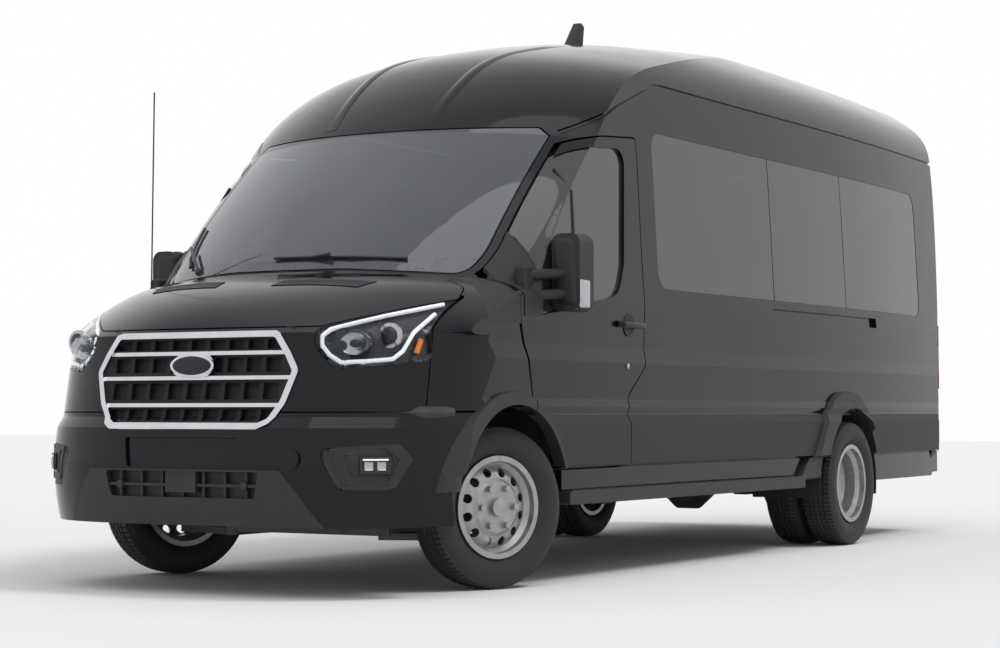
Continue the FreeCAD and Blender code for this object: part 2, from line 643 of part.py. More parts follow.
def sail_panels():
    sail = side_cut(SAIL).common(shifted(OUTER_LEFT, 1)).cut(shifted(OUTER_LEFT, -12))
    sail = largest(sail.cut(screen_zone(PILLAR_W + SEAT)))
    return Part.makeCompound([sail, mirrored(sail)])


def cowl():
    """Dark tray between the hood's rear edge and the windscreen's foot."""
    region = prism([(-900, NOSE + 500), (900, NOSE + 500), (900, FRONT_AXLE), (-900, FRONT_AXLE)],
                   "plan", 1200, 1440)
    bay = front_cut([(-COWL_HALF, 1200), (COWL_HALF, 1200), (COWL_HALF, 1420), (-COWL_HALF, 1420)])
    tray = shifted(SHELL, z=-8).common(region).common(bay)
    return largest(tray.cut(hood_region(GAP)).cut(windscreen()))


def roof_panel():
    """High roof, with a shallow gutter cut along its lower edge."""
    panel = SHELL.common(roof_region(GAP / 2 - SEAT)).cut(front_cut(SCREEN, high=-1300, grow=4))
    gutter = roof_region(GAP / 2).cut(shifted(roof_region(0), z=GUTTER_H)).cut(box(-1300, 1300, -4000, -1690, 0, 3000))
    for side in (shifted(OUTER_LEFT, -GUTTER_DEPTH), mirrored(shifted(OUTER_LEFT, -GUTTER_DEPTH))):
        gutter = gutter.cut(side)
    return panel.cut(gutter.cut(box(-600, 600, -4000, 4000, 0, 3000)))


def front_arch_ring():
    ring = tapered(FRONT_ARCH_TRIM, 980, 1062, 24).cut(side_cut(FRONT_ARCH, 600))
    ring = ring.common(shifted(OUTER_LEFT, 25)).cut(OUTER_LEFT)
    return ring.common(box(700, 1300, FRONT_AXLE - 700, FRONT_AXLE + 700, 430, 1000))


def front_arch_trim():
    """The part of the trim that stays on the wing and bumper."""
    behind = box(700, 1300, FRONT_AXLE + 150, FRONT_AXLE + 700, 300, 1000)
    return front_arch_ring().cut(side_cut(FRONT_DOOR, grow=DOOR_GAP / 2)).cut(behind)


def door_arch_trim():
    """The part of the trim that the front door carries."""
    room = rod(Vector(600, FRONT_AXLE, AXLE_Z), Vector(1000, FRONT_AXLE, AXLE_Z), TYRE_R + 16)
    return front_arch_ring().common(side_cut(FRONT_DOOR, grow=-DOOR_GAP / 2)).cut(room)


def rear_flare():
    ring = tapered(REAR_FLARE, 960, 1066, 40).cut(side_cut(REAR_ARCH, 600))
    return ring.common(shifted(OUTER_LEFT, 28)).cut(OUTER_LEFT)


def rear_door():
    region = prism(REAR_DOOR, "front", 2900, TAIL + 100)
    door = SHELL.common(region)
    return door.cut(prism(REAR_WINDOW, "front", 2900, TAIL + 100))


def rear_pane():
    blank = prism(REAR_WINDOW, "front", 2900, TAIL + 100, -0.4)
    return blank.common(shifted(OUTER, y=-PANE_DEPTH)).cut(shifted(OUTER, y=-PANE_DEPTH - PANE))


# Wheels: pieces are built about the wheel's centre, with the axle along +X, then placed
HAND_HOLES = 12
NUTS = 6
FRONT_FACE = 69.0
TWIN_FACE = REAR_OUTER_X - TWIN_X


def revolved(points):
    """Ring or disc from (x, r) points turned about the X axis."""
    wire = Part.makePolygon([Vector(x, 0, r) for x, r in points + points[:1]])
    return Part.Face(wire).revolve(Vector(0, 0, 0), Vector(1, 0, 0), 360)


def tyre():
    w = TYRE_W / 2
    return revolved([(-w + 35, BEAD_R), (-w, RIM_LIP_R + 65), (-w + 20, TYRE_R), (w - 20, TYRE_R),
                     (w, RIM_LIP_R + 65), (w - 35, BEAD_R)])


def barrel():
    h = RIM_W / 2
    seat = BEAD_R - 0.3
    return revolved([(-h - 8, RIM_LIP_R), (-h, RIM_LIP_R), (-h, seat), (-h + 22, seat), (-h + 40, seat - 22),
                     (h - 40, seat - 22), (h - 22, seat), (h, seat), (h, RIM_LIP_R), (h + 8, RIM_LIP_R),
                     (h + 8, seat - 6), (h - 20, seat - 8), (h - 40, seat - 30), (-h + 40, seat - 30),
                     (-h + 20, seat - 8), (-h - 8, seat - 6)])


def nuts(face, length):
    studs = []
    for i in range(NUTS):
        a = math.radians(30 + 360.0 / NUTS * i)
        foot = Vector(face - 2, NUT_CIRCLE_R * math.sin(a), NUT_CIRCLE_R * math.cos(a))
        studs.append(rod(foot, foot + Vector(length, 0, 0), 14))
    return studs


def front_rim():
    f = FRONT_FACE
    disc = revolved([(f, 0), (f, 108), (f - 12, 124), (f - 19, 150), (f - 36, BEAD_R - 27),
                     (f - 46, BEAD_R - 27), (f - 27, 147), (f - 20, 119), (f - 9, 104), (f - 9, 0)])
    for i in range(HAND_HOLES):
        a = math.radians(360.0 / HAND_HOLES * (i + 0.5))
        foot = Vector(0, 150 * math.sin(a), 150 * math.cos(a))
        disc = disc.cut(rod(foot, foot + Vector(100, 0, 0), 20))
    cap = rod(Vector(f - 5, 0, 0), Vector(f + 22, 0, 0), 39)
    sleeve = rod(Vector(f - 70, 0, 0), Vector(f - 3, 0, 0), 62)
    wheel = joined([barrel(), disc, cap, sleeve] + nuts(f, 24))
    return wheel.cut(rod(Vector(f - 71, 0, 0), Vector(f - 15, 0, 0), SPINDLE_R + RUN_GAP))


def dished_disc():
    f = -TWIN_FACE + 9
    return revolved([(f, 0), (f, 110), (f + 12, 126), (f + 58, 166), (f + 80, BEAD_R - 27),
                     (f + 70, BEAD_R - 27), (f + 50, 168), (f + 3, 128), (f - 9, 112), (f - 9, 0)])


def rear_rims():
    outer = barrel().fuse(dished_disc())
    inner = mirrored(outer)
    sleeve = rod(Vector(TWIN_X - 90, 0, 0), Vector(TWIN_X + 5, 0, 0), 85)
    cap = rod(Vector(TWIN_X, 0, 0), Vector(TWIN_X + 34, 0, 0), 60)
    studs = [shifted(stud, TWIN_X + 9) for stud in nuts(0, 24)]
    wheels = joined([shifted(outer, REAR_OUTER_X), shifted(inner, REAR_INNER_X), sleeve, cap] + studs)
    wheels = wheels.cut(rod(Vector(TWIN_X - 91, 0, 0), Vector(TWIN_X - 12, 0, 0), AXLE_STUB_R + RUN_GAP))
    return shifted(wheels, 0, REAR_AXLE, AXLE_Z)


def rear_tyres():
    return Part.makeCompound([shifted(tyre(), x, REAR_AXLE, AXLE_Z) for x in (REAR_OUTER_X, REAR_INNER_X)])


def steered(shape, side):
    """A front wheel's piece as it stands, turned about the kingpin; side is 1 for left, -1 for right."""
    spun = shape.copy()
    spun.rotate(Vector(KINGPIN_X, FRONT_AXLE, AXLE_Z), Vector(0, 0, 1), STEER_REST * side)
    return spun if side > 0 else mirrored(spun)


def knuckle(side):
    """Carrier with its spindle, brake disc and strut foot, turned at the kingpin."""
    y, z = FRONT_AXLE, AXLE_Z
    parts = [rod(Vector(KINGPIN_X - 40, y, z), Vector(FRONT_WHEEL_X + FRONT_FACE - 16, y, z), SPINDLE_R),
             rod(Vector(KINGPIN_X - 30, y, z), Vector(KINGPIN_X - 6, y, z), 112),
             rod(Vector(KINGPIN_X - 62, y, z), Vector(KINGPIN_X - 28, y, z), 70),
             rod(Vector(KINGPIN_X, y, ARM_Z + ARM_T + SEAT), Vector(KINGPIN_X, y, z), 18),
             rod(Vector(KINGPIN_X - 60, y, z - 60), Vector(KINGPIN_X - 60, y, z + 160), 32),
             rod(Vector(KINGPIN_X - 60, y, z - 60), Vector(KINGPIN_X - 75, y + 150, z - 60), 16)]
    return steered(joined(parts), side)


def rear_axle():
    y, z = REAR_AXLE, AXLE_Z
    beam = rod(Vector(-TWIN_X + 14, y, z), Vector(TWIN_X - 14, y, z), AXLE_STUB_R)
    parts = [beam, rod(Vector(-590, y, z), Vector(590, y, z), 58),
             shifted(revolved([(-150, 0), (-150, 90), (-60, 165), (60, 165), (150, 90), (150, 0)]), 0, y, z),
             rod(Vector(0, y - 300, z), Vector(0, y, z), 70)]
    for side in (1, -1):
        parts.append(rod(Vector(side * 540, y, z), Vector(side * 575, y, z), 150))
        arc = [(SPRING_FRONT + SEAT, z + 85), (y - 300, z + 5), (y + 300, z + 5), (SPRING_REAR - SEAT, z + 120)]
        lower = [(a, b - 70 if abs(a - y) < 400 else b - 25) for a, b in arc]
        leaf = prism(arc + lower[::-1], "side", side * 470 - 37, side * 470 + 37)
        parts.append(leaf)
    return joined(parts)


# Structure under the floor
ARM_Z = 198.0
ARM_T = 30.0
FLOOR_Z = 735.0
FLOOR_T = 40.0
RAIL_X = 470.0
RAIL_TOP = 600.0
CROSSBAR_Z = 500.0
RAIL_END = TAIL - 190.0
SPRING_FRONT = REAR_AXLE - 590.0
SPRING_REAR = REAR_AXLE + 690.0


def floor_pan():
    room = INNER.common(shifted(INNER, y=-DOOR_ROOM))
    plate = room.common(box(-1100, 1100, FRONT_AXLE + 400, TAIL + 10, FLOOR_Z, FLOOR_Z + FLOOR_T))
    for side in (1, -1):
        doorway = box(*sorted((side * 930, side * 1100)), FRONT_AXLE, DOOR_REAR + 30, FLOOR_Z, FLOOR_Z + FLOOR_T)
        corner = box(*sorted((side * 790, side * 1100)), TAIL - 250, TAIL, FLOOR_Z, FLOOR_Z + FLOOR_T)
        plate = plate.cut(doorway).cut(corner)
    step = box(-930, 930, FRONT_AXLE + 400, FRONT_AXLE + 430, RAIL_TOP + SEAT, FLOOR_Z)
    sills = []
    for side in (1, -1):
        sill = box(880, 985 - WALL - DOOR_ROOM, FRONT_AXLE + 400, REAR_AXLE - 440, 420, FLOOR_Z)
        sills.append(sill if side > 0 else mirrored(sill))
    return joined([plate, step] + sills)


def chassis_frame():
    parts = []
    for side in (1, -1):
        a, b = sorted((side * (RAIL_X - 35), side * (RAIL_X + 35)))
        rear = prism([(FRONT_AXLE + 350, 480), (FRONT_AXLE + 350, 600), (REAR_AXLE - 700, 600),
                      (REAR_AXLE - 350, 690), (REAR_AXLE + 350, 690), (RAIL_END, 640), (RAIL_END, 540),
                      (REAR_AXLE + 350, 590), (REAR_AXLE - 350, 590), (REAR_AXLE - 650, 480)], "side", a, b)
        front = prism([(NOSE + 150, 420), (NOSE + 150, 560), (FRONT_AXLE + 351, 600), (FRONT_AXLE + 351, 480),
                       (FRONT_AXLE + 200, 420)], "side", a, b)
        parts += [rear, front]
        parts.append(box(a, b, SPRING_FRONT - 50, SPRING_FRONT, 400, 610))
        parts.append(box(a, b, SPRING_REAR, SPRING_REAR + 50, 440, 620))
    for y in (NOSE + 190, FRONT_AXLE + 420, -200, REAR_AXLE - 900, REAR_AXLE + 900, RAIL_END - 40):
        parts.append(box(-RAIL_X, RAIL_X, y - 40, y + 40, CROSSBAR_Z, CROSSBAR_Z + 70))
    return joined(parts)


def front_suspension():
    """Lower arms, strut towers and the cross member that carries them."""
    parts = [box(-440, 440, FRONT_AXLE - 150, FRONT_AXLE + 190, 215, 300)]
    for side in (1, -1):
        parts.append(box(*sorted((side * 405, side * (RAIL_X - 35 - SEAT))), FRONT_AXLE - 100, FRONT_AXLE + 100, 290, 560))
        arm = prism([(side * 380, FRONT_AXLE - 170, 20), (side * 380, FRONT_AXLE + 190, 20),
                     (side * 650, FRONT_AXLE + 40, 90), (side * (KINGPIN_X + 22), FRONT_AXLE + 22, 21),
                     (side * (KINGPIN_X + 22), FRONT_AXLE - 22, 21), (side * 650, FRONT_AXLE - 40, 90)],
                    "plan", ARM_Z, ARM_Z + ARM_T)
        parts.append(arm)
        strut = rod(Vector(side * 665, FRONT_AXLE, AXLE_Z + 190), Vector(side * 645, FRONT_AXLE, 730), 50)
        parts.append(strut)
        parts.append(box(*sorted((side * 480, side * 760)), FRONT_AXLE - 120, FRONT_AXLE + 120, 715, 740))
        parts.append(box(*sorted((side * (RAIL_X + 35 + SEAT), side * 545)), FRONT_AXLE - 120, FRONT_AXLE + 120, 520, 730))
    return joined(parts)


def underbody():
    shaft = rod(Vector(0, FRONT_AXLE + 900, 420), Vector(0, REAR_AXLE - 304, AXLE_Z), 45)
    gearbox = rounded_box(-150, 150, FRONT_AXLE + 330 + SEAT, FRONT_AXLE + 910, 320, CROSSBAR_Z - SEAT, 40)
    tank = rounded_box(RAIL_X + 35 + SEAT, 860, FRONT_AXLE + 900, FRONT_AXLE + 1900, 400, 690, 40)
    z = CROSSBAR_Z - 95 - SEAT
    pipe = rod(Vector(-300, FRONT_AXLE + 500, z), Vector(-300, REAR_AXLE - 800, z), 32)
    silencer = rod(Vector(-300, -900, z), Vector(-300, -100, z), 95)
    return Part.makeCompound([joined([shaft, gearbox]), tank, pipe.fuse(silencer)])


def engine_block():
    block = box(-300, 300, NOSE + 480, FRONT_AXLE - 175, 310, 1080)
    return block.fuse(box(-200, 200, FRONT_AXLE - 176, FRONT_AXLE + 330, 380, 700))


def running_boards():
    left = prism([(FRONT_AXLE + 379, 345, 15), (FRONT_AXLE + 379, 405, 15), (REAR_AXLE - 720, 405, 15),
                  (REAR_AXLE - 720, 345, 15)], "side", 935, 1046)
    brackets = [box(940, 975, y, y + 50, 380, SIDE_FOOT + GAP / 2 - SEAT) for y in (-1700, -700, 300)]
    tread = box(992, 1042, FRONT_AXLE + 420, REAR_AXLE - 760, 400, 408)
    left = joined([left, tread] + brackets)
    return Part.makeCompound([left, mirrored(left)])


def rear_bumper_form():
    """Bumper's full outer form: upright sides, rounded corners and a lower edge that tucks in."""
    low = [(-905, TAIL - 340), (-880, TAIL - 150, 150), (-640, TAIL - 30, 300), (640, TAIL - 30, 300),
           (880, TAIL - 150, 150), (905, TAIL - 340)]
    high = [(-952, TAIL - 340), (-925, TAIL - 130, 150), (-660, TAIL, 300), (660, TAIL, 300),
            (925, TAIL - 130, 150), (952, TAIL - 340)]
    wires = []
    for points, z in ((low, 380), (high, 560), (high, REAR_BUMPER_TOP)):
        wire = outline(points, "plan")
        wire.translate(Vector(0, 0, z))
        wires.append(wire)
    return Part.makeLoft(wires, True, True)


def rear_bumper():
    solid = rear_bumper_form()
    inner = shifted(rear_bumper_form(), 0, -55, -45).common(box(-850, 850, 2600, 3600, 300, 700))
    step = box(-470, 470, TAIL - 125, TAIL + 50, 610, 800)
    return solid.cut(inner).cut(step)


def tail_lamps():
    lamp = prism([(872, 900, 20), (872, 1300, 20), (1010, 1300, 20), (1010, 900, 20)], "front", 3080, TAIL + 60)
    lamp = lamp.common(shifted(OUTER, x=3, y=6)).cut(OUTER)
    return Part.makeCompound([largest(lamp), mirrored(largest(lamp))])


# Cabin
def seat(x, y, z, width):
    cushion = rounded_box(x - width / 2, x + width / 2, y - 250, y + 230, z + 250, z + 390, 45)
    back = rounded_box(x - width / 2, x + width / 2, -70, 70, 0, 640, 50)
    back.rotate(Vector(0, 0, 0), Vector(1, 0, 0), -14)
    back = shifted(back, 0, y + 250, z + 330)
    rest = rounded_box(x - 130, x + 130, y + 390, y + 480, z + 960, z + 1140, 40)
    posts = [rod(Vector(x + a, y + 420, z + 900), Vector(x + a, y + 434, z + 1000), 8) for a in (-60, 60)]
    foot = box(x - width / 2 + 60, x + width / 2 - 60, y - 180, y + 180, z, z + 270)
    return joined([cushion, back, rest, foot] + posts)


DRIVER_Y = FRONT_AXLE + 1030.0
DASH_HALF = 800.0


def front_seats():
    return Part.makeCompound([seat(480, DRIVER_Y, FLOOR_Z + FLOOR_T, 520), seat(-480, DRIVER_Y, FLOOR_Z + FLOOR_T, 520)])


ROW_PITCH = 820.0
ROWS = 4


def rear_seats():
    seats = []
    for row in range(ROWS):
        y = FRONT_AXLE + 2130 + ROW_PITCH * row
        seats.append(seat(430, y, FLOOR_Z + FLOOR_T, 860))
        seats.append(seat(-560, y, FLOOR_Z + FLOOR_T, 460))
    return Part.makeCompound(seats)


def dashboard():
    y0 = FRONT_AXLE - 130
    top = prism([(y0, 1010, 30), (y0, 1330, 60), (y0 + 330, 1330, 60), (y0 + 470, 1180, 60),
                 (y0 + 380, 950, 60)], "side", -DASH_HALF, DASH_HALF)
    wall = prism([(y0 - 40, 830), (y0 - 40, 1330), (y0 + 1, 1330), (y0 + 1, 830)], "side", -DASH_HALF, DASH_HALF)
    toe = prism([(y0 - 40, 830), (y0 + 1, 870), (FRONT_AXLE + 400, FLOOR_Z + FLOOR_T + 30),
                 (FRONT_AXLE + 400, FLOOR_Z + FLOOR_T)], "side", -DASH_HALF, DASH_HALF)
    console = box(-170, 170, y0 + 200, y0 + 430, FLOOR_Z + FLOOR_T + 40, 1000)
    column = rod(Vector(480, y0 + 380, 1130), Vector(480, y0 + 560, 1230), 30)
    grip = revolved([(-12, 176), (-12, 190), (-4, 198), (8, 198), (12, 190), (12, 176), (4, 170), (-6, 170)])
    spokes = [box(-8, 4, -180, 180, -20, 20), box(-8, 4, -22, 22, -180, 0), rod(Vector(-30, 0, 0), Vector(12, 0, 0), 70)]
    wheel = joined([grip] + spokes)
    wheel.rotate(Vector(0, 0, 0), Vector(0, 0, 1), 90)
    wheel.rotate(Vector(0, 0, 0), Vector(1, 0, 0), 30)
    wheel = shifted(wheel, 480, y0 + 575, 1240)
    inside = joined([top, wall, toe]).common(INNER)
    return joined([inside, console, column, wheel])


# Outside fittings
MIRROR_OUT = 1180.0
MAST_FOOT = Vector(-900, FRONT_AXLE - 131, 1290)


def aerials():
    mast = rod(MAST_FOOT, Vector(-900, FRONT_AXLE - 118, 2250), 3.5)
    foot = Part.makeCone(24, 8, 40, MAST_FOOT)
    fin = prism([(-100, 2690), (60, 2690), (85, 2850, 10), (45, 2870, 10)], "side", -22, 22)
    fin = fin.cut(OUTER)
    return Part.makeCompound([mast.fuse(foot).cut(OUTER).cut(mirrored(shifted(OUTER_LEFT, 1 + SEAT))), fin])


def wipers():
    arms = []
    for foot, tip in (((-60, -2575, 1392), (480, -2440, 1418)), ((-560, -2540, 1392), (-780, -2300, 1500))):
        a, b = Vector(*foot), Vector(*tip)
        arms.append(rod(a, b, 8).fuse(rod(a - Vector(0, -10, 22), a + Vector(0, -4, 12), 16)))
    return Part.makeCompound(arms).cut(OUTER)


def mirror_head():
    """Two-arm mirror on a plate that fills the front corner of the door's window."""
    shell = rounded_box(1042, MIRROR_OUT, FRONT_AXLE + 222, FRONT_AXLE + 350, 1192, 1532, 45, "front")
    corner = side_cut(DOOR_WINDOW, grow=-0.4).common(box(600, 1300, FRONT_AXLE - 60, MIRROR_BASE_REAR - SEAT, 1100, 1600))
    plate = corner.common(shifted(OUTER_LEFT, 3)).cut(shifted(OUTER_LEFT, -20)).cut(screen_zone(PILLAR_W + GAP))
    arms = [rod(Vector(1004, FRONT_AXLE + 50, z), Vector(1110, FRONT_AXLE + 250, z + 15), 22) for z in (1255, 1345)]
    return joined([shell, largest(plate)] + arms)


def door_handle():
    return rounded_box(1018, 1062, FRONT_AXLE + 872, FRONT_AXLE + 1105, 1146, 1172, 10)


def both(node, maker):
    shape = solids_of(maker())
    save(node + "_left", shape)
    save(node + "_right", mirrored(shape))


def all_nodes():
    left_wall = side_wall(False)
    save("body_side_left", left_wall)
    save("body_side_right", mirrored(side_wall(True)))
    save("sliding_door", mirrored(largest(sliding_door())))
    save("roof_panel", largest(roof_panel()))
    save("hood", largest(hood()))
    both("fender", lambda: largest(fender()))
    save("front_fascia", fascia())
    save("front_bumper", largest(front_bumper()))
    save("bumper_valance", largest(valance()))
    bright = largest(grille())
    save("grille", bright)
    save("grille_mesh", largest(grille_mesh().cut(bright)))
    save("front_lamps", lamps())
    save("windscreen", largest(windscreen()))
    tray = cowl()
    save("cowl", tray)
    save("sail_panels", sail_panels())
    both("side_glass", side_panes)
    trims = [front_arch_trim(), rear_flare()]
    trims = [largest(t) for t in trims]
    save("arch_trims", Part.makeCompound(trims + [mirrored(t) for t in trims]))
    both("door_arch_trim", lambda: largest(door_arch_trim()))
    save("running_boards", running_boards())
    save("rear_bumper", largest(rear_bumper()))
    save("tail_lamps", tail_lamps())
    save("floor_pan", floor_pan())
    save("chassis_frame", chassis_frame())
    save("front_suspension", front_suspension())
    save("underbody", underbody())
    save("engine_block", engine_block())
    save("rear_axle", rear_axle())
    save("dashboard", largest(dashboard().cut(tray)))
    save("front_seats", front_seats())
    save("rear_seats", rear_seats())
    save("aerials", aerials())
    save("wipers", wipers())
    door = largest(front_door()).fuse(door_handle())
    both("front_door", lambda: largest(door))
    mirror = mirror_head()
    both("front_door_glass", lambda: largest(door_pane().cut(mirror)))
    both("mirror", lambda: mirror)
    both("rear_door", lambda: largest(rear_door()))
    both("rear_door_glass", rear_pane)
    for name, side in (("left", 1), ("right", -1)):
        for node, shape in (("tyre_front_", tyre()), ("rim_front_", front_rim())):
            save(node + name, steered(shifted(shape, FRONT_WHEEL_X, FRONT_AXLE, AXLE_Z), side))
        save("knuckle_" + name, knuckle(side))
    both("tyres_rear", rear_tyres)
    both("rims_rear", rear_rims)


all_nodes()
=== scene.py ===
import json
import math
import bmesh
import bpy
from mathutils import Matrix, Vector


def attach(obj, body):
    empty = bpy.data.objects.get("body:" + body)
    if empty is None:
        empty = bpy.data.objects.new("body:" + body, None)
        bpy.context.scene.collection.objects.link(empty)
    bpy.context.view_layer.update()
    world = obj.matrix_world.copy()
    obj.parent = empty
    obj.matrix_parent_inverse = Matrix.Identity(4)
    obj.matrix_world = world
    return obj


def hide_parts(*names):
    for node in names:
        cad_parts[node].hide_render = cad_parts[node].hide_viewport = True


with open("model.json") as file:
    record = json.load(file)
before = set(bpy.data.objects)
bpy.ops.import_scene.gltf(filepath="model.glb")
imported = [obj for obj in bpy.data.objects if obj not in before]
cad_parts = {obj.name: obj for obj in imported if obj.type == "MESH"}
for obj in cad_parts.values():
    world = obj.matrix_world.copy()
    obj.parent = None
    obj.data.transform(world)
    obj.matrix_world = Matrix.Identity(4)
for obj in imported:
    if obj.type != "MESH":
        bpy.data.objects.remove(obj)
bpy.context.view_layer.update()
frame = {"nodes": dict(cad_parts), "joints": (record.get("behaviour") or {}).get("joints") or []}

# Studio: a pale floor under a white sky, a soft sun from behind the left side and a wide softbox in front.
# Nothing here is part of the vehicle. The camera stands where the photograph's camera stood,
# low down in front of the left headlamp with a long lens.
PHOTO_SPOT = (5.8394, -10.7064, 0.7584)
PHOTO_YAW = math.radians(30.511)
PHOTO_PITCH = math.radians(-2.270)
LENS_MM = 81.35
SENSOR_MM = 36.0
LENS_SHIFT = (0.0014, -0.0025)
FLOOR_SIZE = 90
FLOOR_DROP = 0.0015
SUNS = [("soft_sun", (-0.62, -0.20, -1.0), 1.0, 16), ("wide_softbox", (-0.25, 0.45, -1.0), 0.75, 55)]
SKY_ON_MATT = 0.50
SKY_SEEN = 1.0


def deselect():
    bpy.ops.object.select_all(action="DESELECT")


def new_material(name):
    material = bpy.data.materials.new(name)
    material.use_nodes = True
    return material, material.node_tree.nodes, material.node_tree.links


def tune(material, values):
    """Sets constants on the shader's own sockets."""
    for socket, value in values.items():
        material.node_tree.nodes["Principled BSDF"].inputs[socket].default_value = value


def ranged(nodes, links, source, span, to_span):
    """Maps a value from one span to another."""
    node = nodes.new("ShaderNodeMapRange")
    for socket, value in zip(("From Min", "From Max", "To Min", "To Max"), (*span, *to_span)):
        node.inputs[socket].default_value = value
    links.new(source, node.inputs["Value"])
    return node.outputs[0]


def combined(nodes, links, operation, first, second):
    """Joins two values by one operation."""
    node = nodes.new("ShaderNodeMath")
    node.operation = operation
    links.new(first, node.inputs[0])
    links.new(second, node.inputs[1])
    return node.outputs[0]


deselect()
bpy.ops.object.camera_add(location=PHOTO_SPOT)
camera = bpy.context.object
ahead = Vector((-math.sin(PHOTO_YAW) * math.cos(PHOTO_PITCH), math.cos(PHOTO_YAW) * math.cos(PHOTO_PITCH),
                -math.sin(PHOTO_PITCH)))
camera.rotation_mode = "QUATERNION"
camera.rotation_quaternion = ahead.to_track_quat("-Z", "Y")
camera.data.lens = LENS_MM
camera.data.sensor_width = SENSOR_MM
camera.data.shift_x, camera.data.shift_y = LENS_SHIFT
camera.data.clip_end = 200.0
bpy.context.scene.camera = camera
bpy.context.scene.view_settings.view_transform = "Standard"

deselect()
bpy.ops.mesh.primitive_plane_add(size=FLOOR_SIZE, location=(0, 0, -FLOOR_DROP))
floor = bpy.context.object
floor.name = "studio_floor"
floor_paint = new_material("studio_floor_paint")[0]
tune(floor_paint, {"Base Color": (0.90, 0.90, 0.905, 1), "Roughness": 0.8, "Specular IOR Level": 0.1})
floor.data.materials.append(floor_paint)

for name, way, strength, width in SUNS:
    deselect()
    bpy.ops.object.light_add(type="SUN", location=(6, 9, 12))
    sun = bpy.context.object
    sun.name = name
    sun.data.energy = strength
    sun.data.angle = math.radians(width)
    sun.visible_glossy = name == "wide_softbox"
    sun.rotation_mode = "QUATERNION"
    sun.rotation_quaternion = Vector(way).to_track_quat("-Z", "Y")

sky = bpy.data.worlds.new("white_sky")
bpy.context.scene.world = sky
sky.use_nodes = True
nodes, links = sky.node_tree.nodes, sky.node_tree.links
paths = nodes.new("ShaderNodeLightPath")
seen = combined(nodes, links, "MAXIMUM", paths.outputs["Is Camera Ray"], paths.outputs["Is Glossy Ray"])
seen = combined(nodes, links, "MAXIMUM", seen, paths.outputs["Is Transmission Ray"])
level = ranged(nodes, links, seen, (0, 1), (SKY_ON_MATT, SKY_SEEN))
links.new(level, nodes["Background"].inputs["Strength"])
nodes["Background"].inputs["Color"].default_value = (1, 1, 1, 1)

# Painted body: pressed steel panels under black paint with a clear coat over it.
# The paint carries a little orange peel and road dust low on the panels, and a grained plastic
# cladding clipped along the sides hides its lower part.
PAINTED = ["body_side_left", "body_side_right", "sliding_door", "roof_panel", "hood", "fender_left",
           "fender_right", "front_fascia", "front_bumper", "front_door_left", "front_door_right",
           "rear_door_left", "rear_door_right"]
CLAD = ["body_side_left", "body_side_right", "sliding_door", "front_door_left", "front_door_right"]
CLADDING_FOOT = 0.515
CLADDING_TOP = 0.742
CLADDING_COLOUR = (0.022, 0.022, 0.024, 1)
CLADDING_ROUGH = 0.56
CLOUD_SPAN = (0.3, 0.7)
CLOUD_DETAIL = 5.0
GRAIN_DETAIL = 2.0
GRAIN_HEIGHT = 0.001
ROUGH_SWING = 0.06
ROUGH_LEAST = 0.02
DUST_HEIGHTS = (0.15, 1.0)
DUST_COLOUR = (0.17, 0.155, 0.135, 1)


def noise(nodes, links, place, scale, detail):
    node = nodes.new("ShaderNodeTexNoise")
    node.inputs["Scale"].default_value = scale
    node.inputs["Detail"].default_value = detail
    links.new(place.outputs["Object"], node.inputs["Vector"])
    return node.outputs["Fac"]


def add_bump(nodes, links, height, strength, distance):
    """Puts a bump on the material's own shader."""
    bump = nodes.new("ShaderNodeBump")
    bump.inputs["Strength"].default_value = strength
    bump.inputs["Distance"].default_value = distance
    links.new(height, bump.inputs["Height"])
    links.new(bump.outputs["Normal"], nodes["Principled BSDF"].inputs["Normal"])


def surface(name, base, rough, metallic=0.0, mottle=(6.0, 0.15), grain=(900.0, 0.03), dust=0.0):
    """Material with an uneven colour and roughness, a fine bump, and dust that thins out upwards."""
    material, nodes, links = new_material(name)
    shader = nodes["Principled BSDF"]
    shader.inputs["Metallic"].default_value = metallic
    place = nodes.new("ShaderNodeTexCoord")
    cloud = noise(nodes, links, place, mottle[0], CLOUD_DETAIL)
    tint = nodes.new("ShaderNodeValToRGB")
    for element, position, swing in zip(tint.color_ramp.elements, CLOUD_SPAN, (-mottle[1], mottle[1])):
        element.position = position
        element.color = tuple(min(1.0, c * (1 + swing)) for c in base) + (1,)
    links.new(cloud, tint.inputs["Fac"])
    rough_span = (max(rough - ROUGH_SWING, ROUGH_LEAST), min(rough + ROUGH_SWING, 1.0))
    links.new(ranged(nodes, links, cloud, CLOUD_SPAN, rough_span), shader.inputs["Roughness"])
    fine = noise(nodes, links, place, grain[0], GRAIN_DETAIL)
    add_bump(nodes, links, fine, grain[1], GRAIN_HEIGHT)
    colour = tint.outputs["Color"]
    if dust:
        split = nodes.new("ShaderNodeSeparateXYZ")
        links.new(place.outputs["Object"], split.inputs["Vector"])
        low = ranged(nodes, links, split.outputs["Z"], DUST_HEIGHTS, (dust, 0.0))
        veil = nodes.new("ShaderNodeMix")
        veil.data_type = "RGBA"
        veil.inputs["B"].default_value = DUST_COLOUR
        links.new(combined(nodes, links, "MULTIPLY", low, cloud), veil.inputs["Factor"])
        links.new(colour, veil.inputs["A"])
        colour = veil.outputs["Result"]
    links.new(colour, shader.inputs["Base Color"])
    return material


def dress(names, material):
    """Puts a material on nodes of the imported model."""
    for name in names:
        for slot in frame["nodes"][name].material_slots:
            slot.material = material


